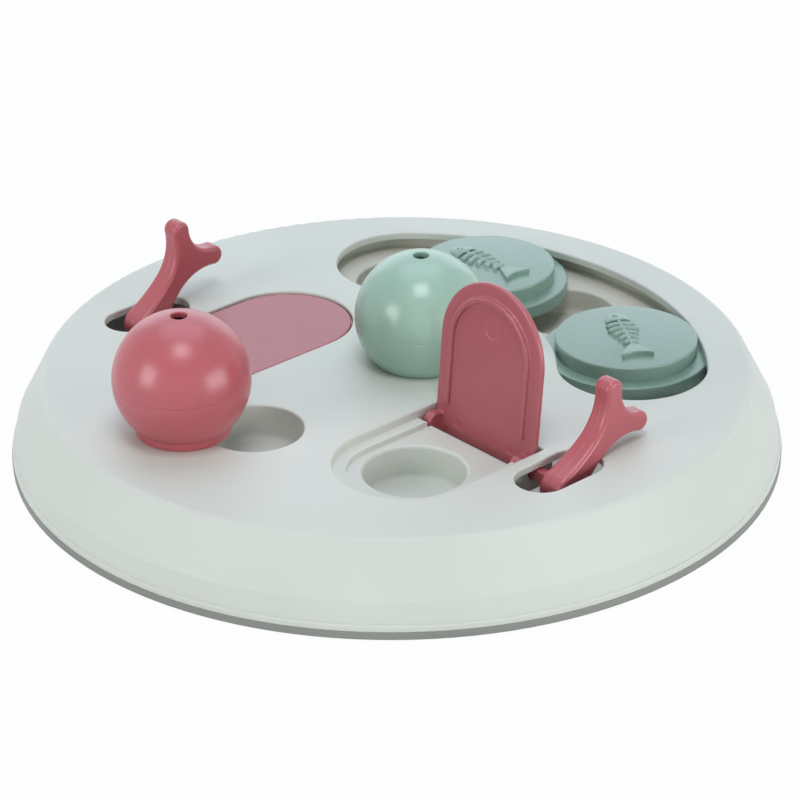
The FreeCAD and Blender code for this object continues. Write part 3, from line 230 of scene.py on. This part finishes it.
def moulded(name, colour, shade, gloss, depth=GRAIN_DEPTH, parting=None):
    """moulded plastic: drifting colour, uneven gloss, the tool's grain and parting line"""
    finish = Finish(name)
    drift = finish.noise(DRIFT_SPOT, detail=1.0)
    handled = finish.noise(HANDLED_SPOT, detail=4.0)
    grain = finish.noise(GRAIN_SPOT, detail=1.0)
    ripple = finish.noise(RIPPLE_SPOT, detail=1.0)
    height = grain * depth + ripple * (depth * RIPPLE_SHARE)
    if parting is not None:
        off_line = (finish.part("Y") - parting).math("ABSOLUTE")
        height = height - off_line.between(*PARTING_EDGES) * PARTING_HEIGHT
    bump = finish.add("ShaderNodeBump", Strength=1.0, Distance=1.0, Height=height)
    finish.feed(
        Base_Color=finish.mix(drift.between(*DRIFT_EDGES), linear(*colour), linear(*shade)),
        Roughness=gloss + (handled - 0.5) * HANDLED_GLOSS + (grain - 0.5) * GRAIN_GLOSS,
        Normal=bump,
        IOR=POLYMER_IOR,
    )
    return finish


# %% [markdown]
# ## The finishes of this board
#
# The board is a cool grey, its tray a warmer one, both with a dull skin. Balls and levers
# are a dusty pink or a pale green with more gloss, and the lids and sliders come out a
# little darker. The open lid is given a lighter pink than the closed one, which is painted
# sheen on its underside. Each pair below is a colour and the shade that it drifts to. The
# levers were moulded lying flat, so a fine parting line runs round the middle of their
# thickness. A finish could be painted on from the camera's side, but then it would slide
# in every other view.

# %% Colours and finishes
SHELL_GREY = (213, 219, 211), (209, 215, 207)
TRAY_GREY = (216, 216, 205), (211, 211, 200)
RING_GREY = (140, 144, 138), (132, 137, 131)
STEEL = (176, 178, 180), (164, 166, 168)
PINK = (184, 92, 100), (179, 87, 95)
LID_PINK = (164, 82, 92), (161, 79, 89)
# painted sheen: the open lid is the same plastic as the closed lid, given a lighter pink for the
# light its underside catches
OPEN_LID_PINK_PAINTED_SHEEN = (175, 94, 102), (171, 90, 98)
GREEN = (154, 189, 173), (150, 185, 169)
SLIDER_GREEN = (131, 161, 149), (128, 158, 146)
SLIDER_GRAIN = 0.001 * MM
LID_GRAIN = 0.0005 * MM
RUBBER_GRAIN = 0.02 * MM
FRONT_LEVER_MIDDLE = -80.6 * MM
REAR_LEVER_MIDDLE = 76.2 * MM
DULL_SKIN = 0.3

shell_plastic = moulded("shell_plastic", *SHELL_GREY, gloss=0.5)
shell_plastic.feed(Specular_IOR_Level=DULL_SKIN)
tray_plastic = moulded("tray_plastic", *TRAY_GREY, gloss=0.5)
tray_plastic.feed(Specular_IOR_Level=DULL_SKIN)
pink_plastic = moulded("pink_plastic", *PINK, gloss=0.29)
green_plastic = moulded("green_plastic", *GREEN, gloss=0.23)
slider_plastic = moulded("slider_plastic", *SLIDER_GREEN, gloss=0.27, depth=SLIDER_GRAIN)
lid_plastic = moulded("lid_plastic", *LID_PINK, gloss=0.27, depth=LID_GRAIN)
# the open lid: a rougher skin of its own, and a lighter pink that is painted sheen
open_lid_painted_sheen_plastic = moulded("open_lid_painted_sheen_plastic", *OPEN_LID_PINK_PAINTED_SHEEN, gloss=0.34)
front_lever_plastic = moulded(
    "front_lever_plastic", *PINK, gloss=0.3, parting=FRONT_LEVER_MIDDLE
)
rear_lever_plastic = moulded("rear_lever_plastic", *PINK, gloss=0.3, parting=REAR_LEVER_MIDDLE)
ring_rubber = moulded("ring_rubber", *RING_GREY, gloss=0.6, depth=RUBBER_GRAIN)
screw_steel = moulded("screw_steel", *STEEL, gloss=0.3)
screw_steel.feed(Metallic=1.0)

# %% Give the solids their finishes
FINISH_OF = {
    "top_shell": shell_plastic,
    "track_tray": tray_plastic,
    "tray_screws": screw_steel,
    "non_slip_ring": ring_rubber,
    "back_slider": slider_plastic,
    "right_slider": slider_plastic,
    "front_lid": open_lid_painted_sheen_plastic,
    "front_lever": front_lever_plastic,
    "rear_lid": lid_plastic,
    "rear_lever": rear_lever_plastic,
    "pink_ball_top": pink_plastic,
    "pink_ball_base": pink_plastic,
    "green_ball_top": green_plastic,
    "green_ball_base": green_plastic,
}
for node, finish in FINISH_OF.items():
    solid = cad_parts[node]
    solid.data.materials.clear()
    solid.data.materials.append(finish.material)
    print(node, len(solid.data.polygons), "triangles")

# %% [markdown]
# ## A lathe for the hollow balls
#
# Each ball is two turned halves: a dome with a small hole, and a bowl with an open collar
# that sits in a cup. One way is a sphere with holes cut by booleans, which leaves long
# thin triangles. Turning the cut wall about the middle line gives even rings instead, and
# every soft edge is then one ring of edges to bevel. The pen below draws the wall's
# outline by extruding one vertex: straight to the next corner, or round a centre.

# %% The lathe
MERGE_REACH = 0.001 * MM
RING_REACH = 0.01 * MM


class Section:
    """the cut wall of a turned piece, drawn with a pen in millimetres: radius, height"""

    def __init__(self, radius, height):
        self.mesh = bmesh.new()
        self.tip = self.mesh.verts.new((radius * MM, 0, height * MM))
        self.start = self.tip

    def line(self, radius, height):
        """a straight run to the next corner"""
        made = bmesh.ops.extrude_vert_indiv(self.mesh, verts=[self.tip])
        self.tip = made["verts"][0]
        self.tip.co = (radius * MM, 0, height * MM)
        return self

    def arc(self, degrees, steps):
        """an arc about the piece's centre, upwards when the angle is positive"""
        made = bmesh.ops.spin(
            self.mesh,
            geom=[self.tip],
            cent=(0, 0, 0),
            axis=(0, -1, 0),
            angle=math.radians(degrees),
            steps=steps,
            use_merge=False,
        )
        self.tip = [end for end in made["geom_last"] if isinstance(end, bmesh.types.BMVert)][0]
        return self

    def turn(self, steps):
        """turn the outline once round the middle line, closed first if it stands off it"""
        if self.start.co.x > 0:
            self.mesh.edges.new((self.tip, self.start))
        bmesh.ops.spin(
            self.mesh,
            geom=self.mesh.verts[:] + self.mesh.edges[:],
            cent=(0, 0, 0),
            axis=(0, 0, 1),
            angle=math.tau,
            steps=steps,
            use_merge=True,
        )
        bmesh.ops.remove_doubles(self.mesh, verts=self.mesh.verts, dist=MERGE_REACH)
        bmesh.ops.recalc_face_normals(self.mesh, faces=self.mesh.faces)
        return self

    def soften(self, radius, height, width, steps=3):
        """round the ring of edges at a radius and height"""
        ring = [
            edge
            for edge in self.mesh.edges
            if all(
                abs(corner.co.xy.length - radius * MM) < RING_REACH
                and abs(corner.co.z - height * MM) < RING_REACH
                for corner in edge.verts
            )
        ]
        if not ring:
            raise SystemExit(f"no edge at radius {radius} and height {height}")
        bmesh.ops.bevel(
            self.mesh,
            geom=ring,
            offset=width * MM,
            affect="EDGES",
            segments=steps,
            profile=0.5,
            material=-1,
        )
        return self


SHARP_ANGLE = math.radians(35)


def made_object(name, mesh, finish, place, body, slot, *nodes):
    """put a finished mesh at its place and let it stand for nodes of the solid model"""
    bmesh.ops.translate(mesh, verts=mesh.verts, vec=place)
    data = bpy.data.meshes.new(name)
    mesh.to_mesh(data)
    mesh.free()
    data.shade_smooth()
    data.set_sharp_from_angle(angle=SHARP_ANGLE)
    data.materials.append(finish.material)
    piece = bpy.data.objects.new(name, data)
    bpy.context.scene.collection.objects.link(piece)
    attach(piece, body)
    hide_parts(*nodes)
    print(name, len(data.polygons), "faces")


# %% Turn the two halves of each ball
BALL_RADIUS = 19.8
INNER_RADIUS = 18.0
HOLE_RADIUS = 2.35
STEP_RADIUS = 18.9
STEP_HEIGHT = 1.2
STEP_GAP = 0.05
COLLAR_RADIUS = 13.7
COLLAR_BORE = 11.9
COLLAR_TOP = -13.95
COLLAR_FOOT = -16.45
BALL_STEPS = 144
HOLE_ROUND = 0.42
SEAM_ROUND = 0.07
NECK_ROUND = 0.12
FOOT_ROUND = 0.35
BORE_ROUND = 0.25


def rise(radius, reach):
    """degrees above the equator at which a ball reaches in to a radius"""
    return math.degrees(math.acos(reach / radius))


def height_at(radius, reach):
    """height over the equator at which a ball reaches in to a radius"""
    return math.sqrt(radius**2 - reach**2)


def ball_dome():
    """upper half: outer dome, hole, inner dome and the step that enters the lower half"""
    inside_foot = math.degrees(math.asin(STEP_HEIGHT / INNER_RADIUS))
    dome = Section(BALL_RADIUS, 0).arc(rise(BALL_RADIUS, HOLE_RADIUS), steps=40)
    dome.line(HOLE_RADIUS, height_at(INNER_RADIUS, HOLE_RADIUS))
    dome.arc(-rise(INNER_RADIUS, HOLE_RADIUS) - inside_foot, steps=24)
    dome.line(STEP_RADIUS, -STEP_HEIGHT)
    dome.line(STEP_RADIUS, 0)
    dome.turn(BALL_STEPS)
    dome.soften(HOLE_RADIUS, height_at(BALL_RADIUS, HOLE_RADIUS), HOLE_ROUND, steps=5)
    dome.soften(BALL_RADIUS, 0, SEAM_ROUND, steps=2)
    return dome


def ball_bowl():
    """lower half: outer bowl, collar, bore, inner bowl and the rebate for the step"""
    rebate = STEP_HEIGHT + STEP_GAP
    rebate_turn = math.degrees(math.asin(rebate / INNER_RADIUS))
    bore_turn = rise(INNER_RADIUS, COLLAR_BORE)
    collar_turn = math.degrees(math.asin(-COLLAR_TOP / BALL_RADIUS))
    bowl = Section(BALL_RADIUS, 0).arc(-collar_turn, steps=28)
    bowl.line(COLLAR_RADIUS, COLLAR_TOP)
    bowl.line(COLLAR_RADIUS, COLLAR_FOOT)
    bowl.line(COLLAR_BORE, COLLAR_FOOT)
    bowl.line(COLLAR_BORE, -height_at(INNER_RADIUS, COLLAR_BORE))
    bowl.arc(bore_turn - rebate_turn, steps=20)
    bowl.line(STEP_RADIUS + STEP_GAP, -rebate)
    bowl.line(STEP_RADIUS + STEP_GAP, 0)
    bowl.turn(BALL_STEPS)
    bowl.soften(BALL_RADIUS, 0, SEAM_ROUND, steps=2)
    neck_radius = BALL_RADIUS * math.cos(math.radians(collar_turn))
    bowl.soften(neck_radius, COLLAR_TOP, NECK_ROUND, steps=2)
    bowl.soften(COLLAR_RADIUS, COLLAR_FOOT, FOOT_ROUND, steps=4)
    bowl.soften(COLLAR_BORE, COLLAR_FOOT, BORE_ROUND, steps=3)
    return bowl


for colour, finish in (("pink", pink_plastic), ("green", green_plastic)):
    low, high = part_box(colour + "_ball_base")
    middle = (Vector(low) + Vector(high)) / 2
    middle.z = low[2] - COLLAR_FOOT * MM
    for part, half in (("top", ball_dome()), ("base", ball_bowl())):
        node = f"{colour}_ball_{part}"
        body, slot = colour + "_ball", colour + "_plastic"
        made_object(node + "_turned", half.mesh, finish, middle, body, slot, node)

# %% [markdown]
# ## Sliders with a soft fishbone
#
# Each slider is a turned puck with a fishbone moulded on its top. The fish is a row of plump
# forms that run into one another: a low head, ribs swept towards the tail, beads along a
# spine and a flat tail. A stack of boolean unions would leave a hard line at every joint,
# and sculpting can't be repeated. Here each form is a plain closed shape. A voxel remesh
# melts them into one skin, and smoothing rounds what is left of the joints. The fish lies
# along X, head first, and its heights are measured from the top of the puck.

# %% Turn a puck
PUCK_TOP = 27.45
PUCK_RADIUS = 21.4
FLANGE_TOP = 22.9
FLANGE_FOOT = 18.8
FLANGE_RADIUS = 25.5
PUCK_WALL = 1.8
PUCK_STEPS = 180
PUCK_ROUND = 0.6
FLANGE_ROUND = 0.5


def puck():
    """disc, flange and the hollow below, from the middle line out and back"""
    skin = Section(0, PUCK_TOP).line(PUCK_RADIUS, PUCK_TOP).line(PUCK_RADIUS, FLANGE_TOP)
    skin.line(FLANGE_RADIUS, FLANGE_TOP).line(FLANGE_RADIUS, FLANGE_FOOT)
    skin.line(FLANGE_RADIUS - PUCK_WALL, FLANGE_FOOT)
    skin.line(FLANGE_RADIUS - PUCK_WALL, FLANGE_TOP - PUCK_WALL)
    skin.line(PUCK_RADIUS - PUCK_WALL, FLANGE_TOP - PUCK_WALL)
    skin.line(PUCK_RADIUS - PUCK_WALL, PUCK_TOP - PUCK_WALL).line(0, PUCK_TOP - PUCK_WALL)
    skin.turn(PUCK_STEPS)
    skin.soften(PUCK_RADIUS, PUCK_TOP, PUCK_ROUND, steps=5)
    skin.soften(FLANGE_RADIUS, FLANGE_TOP, FLANGE_ROUND, steps=3)
    return skin


# %% Forms of the fish: ribs, beads and spine
RIBS = (
    # place on the spine, reach to one side, sweep towards the tail
    (7.3, 3.6, 0.8),
    (4.4, 3.8, 1.0),
    (1.5, 2.95, 1.1),
    (-1.4, 2.1, 1.15),
    (-4.3, 1.35, 1.05),
)
RIB_RADIUS = 1.08
RIB_LIFT = 0.2
BEAD_RADIUS = 0.8
BEAD_LIFT = 0.6
SPINE_RADIUS = 0.55
SPINE_LIFT = 0.75
SPINE_INTO_HEAD = 2.5
TAIL_ROOT = -7.2
BAR_SIDES = 20
RIB_STEPS = 24


def bead(fish, radius, *centre):
    """a small ball"""
    place = Matrix.Translation(Vector(centre) * MM)
    bmesh.ops.create_icosphere(fish, subdivisions=3, radius=radius * MM, matrix=place)


def rib(fish, place, reach, sweep):
    """a round bar bent towards the tail on both sides of the spine, with round ends"""
    bend = (reach**2 + sweep**2) / (2 * sweep)
    turn = math.asin(reach / bend)
    middle = Vector((place - bend, 0, RIB_LIFT)) * MM
    upright = Matrix.Rotation(math.pi / 2, 4, "X")
    side = Matrix.Rotation(-turn, 4, "Z") @ Matrix.Translation((bend * MM, 0, 0))
    start = Matrix.Translation(middle) @ side @ upright
    ring = bmesh.ops.create_circle(
        fish, segments=BAR_SIDES, radius=RIB_RADIUS * MM, matrix=start
    )
    edges = list({edge for corner in ring["verts"] for edge in corner.link_edges})
    bmesh.ops.spin(
        fish,
        geom=ring["verts"] + edges,
        cent=middle,
        axis=(0, 0, 1),
        angle=2 * turn,
        steps=RIB_STEPS,
        use_merge=False,
    )
    for hand in (-1, 1):
        bead(fish, RIB_RADIUS, place - sweep, hand * reach, RIB_LIFT)


def spine(fish):
    """the bar along the middle, from the tail into the head"""
    length = RIBS[0][0] + SPINE_INTO_HEAD - TAIL_ROOT
    lie = Matrix.Translation(Vector((TAIL_ROOT + length / 2, 0, SPINE_LIFT)) * MM)
    bmesh.ops.create_cone(
        fish,
        cap_ends=True,
        segments=BAR_SIDES,
        radius1=SPINE_RADIUS * MM,
        radius2=SPINE_RADIUS * MM,
        depth=length * MM,
        matrix=lie @ Matrix.Rotation(math.pi / 2, 4, "Y"),
    )


# %% Forms of the fish: head and tail
GILLS = 9.0
HEAD_SIZE = (6.6, 4.1, 1.45)
TAIL_HEIGHT = 1.55
TAIL_BASE = 0.6
TAIL_SLOPE = 0.4
FLESH_PLACE = (1.6, 0, -0.2)
FLESH_SIZE = (10.0, 4.1, 0.55)
NOTCH_RADIUS = 10.2
NOTCH_PLACE = -13.2
NOTCH_TURN = 52.0
LOBE_REACH = 5.05
LOBE_INSET = 0.1
ROOT_REACH = 1.15
NECK_LENGTH = 1
BEAD_BEHIND_ROOT = 0.4


def head(fish):
    """half of a low egg, cut off straight at the gills"""
    egg = Matrix.Translation((GILLS * MM, 0, 0)) @ Matrix.Diagonal((*HEAD_SIZE, 1.0))
    bmesh.ops.create_icosphere(fish, subdivisions=4, radius=MM, matrix=egg)
    bmesh.ops.bisect_plane(
        fish,
        geom=fish.verts[:] + fish.edges[:] + fish.faces[:],
        plane_co=(GILLS * MM, 0, 0),
        plane_no=(1, 0, 0),
        clear_inner=True,
    )


def flesh(fish):
    """a low pad under the ribs, so that the gaps between them stay shallow"""
    pad = Matrix.Translation(Vector(FLESH_PLACE) * MM) @ Matrix.Diagonal((*FLESH_SIZE, 1.0))
    bmesh.ops.create_icosphere(fish, subdivisions=4, radius=MM, matrix=pad)


def tail(fish):
    """a flat fan with a hollow end, drawn flat with the lathe's pen and raised"""
    start = math.radians(-NOTCH_TURN / 2)
    pen = Section(NOTCH_RADIUS * math.cos(start), NOTCH_RADIUS * math.sin(start))
    pen.arc(NOTCH_TURN, steps=16)
    root = TAIL_ROOT - NOTCH_PLACE + NOTCH_RADIUS
    lobe = NOTCH_RADIUS * math.cos(start) - LOBE_INSET
    pen.line(lobe, LOBE_REACH).line(root, ROOT_REACH)
    pen.line(root, -ROOT_REACH).line(lobe, -LOBE_REACH)
    pen.mesh.edges.new((pen.tip, pen.start))
    plate = bmesh.ops.contextual_create(pen.mesh, geom=pen.mesh.edges[:])["faces"]
    raised = bmesh.ops.extrude_face_region(pen.mesh, geom=plate, use_keep_orig=True)["geom"]
    top = [corner for corner in raised if isinstance(corner, bmesh.types.BMVert)]
    bmesh.ops.translate(pen.mesh, verts=top, vec=(0, -(TAIL_HEIGHT + TAIL_BASE) * MM, 0))
    neck = [corner for corner in top if corner.co.x > (root - NECK_LENGTH) * MM]
    bmesh.ops.translate(pen.mesh, verts=neck, vec=(0, TAIL_SLOPE * MM, 0))
    lie = Matrix.Translation(Vector((NOTCH_PLACE - NOTCH_RADIUS, 0, -TAIL_BASE)) * MM)
    lie = lie @ Matrix.Rotation(-math.pi / 2, 4, "X")
    bmesh.ops.transform(pen.mesh, matrix=lie, verts=pen.mesh.verts)
    bmesh.ops.recalc_face_normals(pen.mesh, faces=pen.mesh.faces)
    flat = bpy.data.meshes.new("fish_tail")
    pen.mesh.to_mesh(flat)
    fish.from_mesh(flat)


# %% Melt the forms into one skin
FISH_VOXEL = 0.15
FISH_ROUNDS = 9
SKIN_FOOT = -0.35
EYE_PLACE = (11.7, 0.6)
EYE_RING = 0.68
EYE_GROOVE = 0.17
EYE_DEPTH = 0.32


def melted(shape, voxel, rounds):
    """one skin round all the closed forms in a mesh, smoothed so many times"""
    forms = bpy.data.meshes.new("forms")
    shape.to_mesh(forms)
    shape.free()
    holder = bpy.data.objects.new("forms", forms)
    bpy.context.scene.collection.objects.link(holder)
    remesh = holder.modifiers.new("melt", "REMESH")
    remesh.mode = "VOXEL"
    remesh.voxel_size = voxel * MM
    bpy.context.view_layer.update()
    view = bpy.context.evaluated_depsgraph_get()
    skin = bmesh.new()
    skin.from_mesh(bpy.data.meshes.new_from_object(holder.evaluated_get(view)))
    bpy.data.objects.remove(holder)
    for _ in range(rounds):
        bmesh.ops.smooth_vert(
            skin, verts=skin.verts, factor=0.5, use_axis_x=True, use_axis_y=True, use_axis_z=True
        )
    return skin


def fish_mesh():
    """the finished relief, cut off a little below the puck's top"""
    fish = bmesh.new()
    head(fish)
    spine(fish)
    flesh(fish)
    for row in RIBS:
        rib(fish, *row)
        bead(fish, BEAD_RADIUS, row[0], 0, BEAD_LIFT)
    bead(fish, BEAD_RADIUS, TAIL_ROOT - BEAD_BEHIND_ROOT, 0, BEAD_LIFT)
    tail(fish)
    bmesh.ops.holes_fill(fish, edges=fish.edges, sides=0)
    bmesh.ops.recalc_face_normals(fish, faces=fish.faces)
    skin = melted(fish, FISH_VOXEL, FISH_ROUNDS)
    for corner in skin.verts:
        off_eye = math.dist(corner.co.xy, Vector(EYE_PLACE) * MM) / MM
        if corner.co.z > 0:
            corner.co.z -= EYE_DEPTH * MM * math.exp(-(((off_eye - EYE_RING) / EYE_GROOVE) ** 2))
    bmesh.ops.bisect_plane(
        skin,
        geom=skin.verts[:] + skin.edges[:] + skin.faces[:],
        plane_co=(0, 0, SKIN_FOOT * MM),
        plane_no=(0, 0, 1),
        clear_inner=True,
    )
    bmesh.ops.holes_fill(skin, edges=skin.edges, sides=0)
    relief = bpy.data.meshes.new("fish_relief")
    skin.to_mesh(relief)
    skin.free()
    print("fish relief", len(relief.polygons), "faces")
    return relief


# %% Set the fish on both pucks
fish_relief = fish_mesh()
for side, fish_turn in (("back", 90.0), ("right", 58.5)):
    node = side + "_slider"
    low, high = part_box(node)
    middle = (Vector(low) + Vector(high)) / 2
    middle.z = 0
    slider = puck()
    placed = fish_relief.copy()
    turned = Matrix.Rotation(math.radians(fish_turn), 4, "Z")
    placed.transform(Matrix.Translation((0, 0, PUCK_TOP * MM)) @ turned)
    slider.mesh.from_mesh(placed)
    name, body = node + "_moulded", side + "_puck"
    made_object(name, slider.mesh, slider_plastic, middle, body, "green_plastic", node)

# %% [markdown]
# ## Lids with soft edges
#
# The open lid shows its underside: a rib in the shape of a U, whose top is round, and three
# round marks where the ejector pins pushed the lid out of its tool. The solid model has all
# of them with small roundings. Bevelling each edge by hand gets hard where three of them
# meet. To give all of them the soft edges of a real moulding, a copy of the solid is
# merged, melted into an even skin and smoothed.

# %% Melt a lid
LID_VOXEL = 0.24
LID_ROUNDS = 3
SOLID_MERGE = 0.002 * MM


def soft_copy(node, voxel, rounds):
    """a solid's own shape as one even skin with soft edges"""
    solid = bmesh.new()
    solid.from_mesh(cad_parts[node].data)
    bmesh.ops.remove_doubles(solid, verts=solid.verts, dist=SOLID_MERGE)
    return melted(solid, voxel, rounds)


# the front lid wears the finish whose lighter pink is painted sheen
for side, finish in (("front", open_lid_painted_sheen_plastic), ("rear", lid_plastic)):
    node = side + "_lid"
    skin = soft_copy(node, LID_VOXEL, LID_ROUNDS)
    name, body = node + "_moulded", side + "_flip"
    made_object(name, skin, finish, (0, 0, 0), body, "pink_plastic", node)

# %% [markdown]
# ## Table and light
#
# The picture is a cut-out on white. The two soft spots on each ball are the lamps seen in
# a mirror, so each spot's place on the ball gives the direction of its lamp: one almost
# overhead on the camera's side, one low on the left. A broad panel behind the board gives
# the closed lid its bluish sheen, one above it keeps the cups from going dark, and one on
# the right fills the shade. The floor is pale and keeps a trace of the contact shadow, and
# under the board, where no light reaches, it is as dark as a real table is there. The world
# answers camera rays with plain white.

# %% Floor and world


def white_for_camera(tree, surface, output, share):
    """send camera, mirror and glass rays to plain white, all others to the surface"""
    path = tree.nodes.new("ShaderNodeLightPath")
    kind = "Background" if surface.node.type == "BACKGROUND" else "Emission"
    white = tree.nodes.new("ShaderNode" + kind)
    white.inputs["Color"].default_value = (1, 1, 1, 1)
    white.inputs["Strength"].default_value = 1.0
    rays = Wire(tree, path.outputs["Is Camera Ray"])
    for name in ("Is Glossy Ray", "Is Transmission Ray"):
        rays = rays.math("MAXIMUM", Wire(tree, path.outputs[name]))
    mix = tree.nodes.new("ShaderNodeMixShader")
    plug(tree, mix.inputs[0], rays * share)
    tree.links.new(surface, mix.inputs[1])
    tree.links.new(white.outputs[0], mix.inputs[2])
    tree.links.new(mix.outputs[0], output.inputs["Surface"])


FLOOR_HALF = 2.5
FLOOR_WHITE = 0.93
SHADED_WHITE = 0.3
BOARD_REACH = (106 * MM, 112 * MM)
floor_mesh = bpy.data.meshes.new("floor")
shape = bmesh.new()
bmesh.ops.create_grid(shape, x_segments=1, y_segments=1, size=FLOOR_HALF)
shape.to_mesh(floor_mesh)
shape.free()
floor = bpy.data.objects.new("floor", floor_mesh)
bpy.context.scene.collection.objects.link(floor)
floor_finish = Finish("floor_white")
floor_finish.feed(Base_Color=(0.9, 0.9, 0.9, 1.0), Roughness=0.9)
floor_output = floor_finish.tree.nodes["Material Output"]
from_middle = floor_finish.add(
    "ShaderNodeVectorMath",
    out="Value",
    settings={"operation": "LENGTH"},
    Vector=floor_finish.place,
)
outside = from_middle.between(*BOARD_REACH)
floor_share = outside * (FLOOR_WHITE - SHADED_WHITE) + SHADED_WHITE
white_for_camera(floor_finish.tree, floor_finish.shader.outputs[0], floor_output, floor_share)
floor_mesh.materials.append(floor_finish.material)

WORLD_GLOW = 0.2
world = bpy.data.worlds.new("studio")
bpy.context.scene.world = world
world.use_nodes = True
sky = world.node_tree.nodes["Background"]
sky.inputs["Color"].default_value = (1, 1, 1, 1)
sky.inputs["Strength"].default_value = WORLD_GLOW
white_for_camera(world.node_tree, sky.outputs[0], world.node_tree.nodes["World Output"], 1.0)

# %% Lamps


def lamp(name, azimuth, elevation, distance, size, brightness, tint=(1, 1, 1)):
    """a soft panel so many degrees round and up from the board, sizes in metres,
    as bright as its mirror image shows it"""
    across, up = size
    data = bpy.data.lights.new(name, "AREA")
    data.shape = "RECTANGLE"
    data.size = across
    data.size_y = up
    data.energy = brightness * math.pi * across * up
    data.color = tint
    light = bpy.data.objects.new(name, data)
    bpy.context.scene.collection.objects.link(light)
    turn = math.radians(azimuth)
    lift = math.radians(elevation)
    level = math.cos(lift)
    towards = Vector((level * math.cos(turn), level * math.sin(turn), math.sin(lift)))
    aim = (-towards).to_track_quat("-Z", "Y")
    place = towards * distance
    light.matrix_world = Matrix.Translation(place) @ aim.to_matrix().to_4x4()
    print(name, "at", [round(value, 2) for value in place], round(data.energy, 2), "W")


lamp("overhead_panel", 228, 71, 1.2, (0.44, 0.44), 6.8, (0.95, 0.96, 1.0))
lamp("left_panel", 172, 19.6, 1.2, (0.46, 0.54), 5.6)
lamp("right_panel", 289, 8, 1.4, (0.9, 0.7), 4.9)
lamp("front_panel", 232, 10, 1.8, (2.2, 1.4), 0.27)
lamp("top_panel", 48, 68, 1.5, (1.4, 1.0), 1.78, (0.77, 0.83, 1.0))
lamp("back_panel", 48, 22, 1.6, (2.0, 1.15), 0.95, (0.7, 0.86, 1.0))

bpy.context.scene.view_settings.view_transform = "Standard"
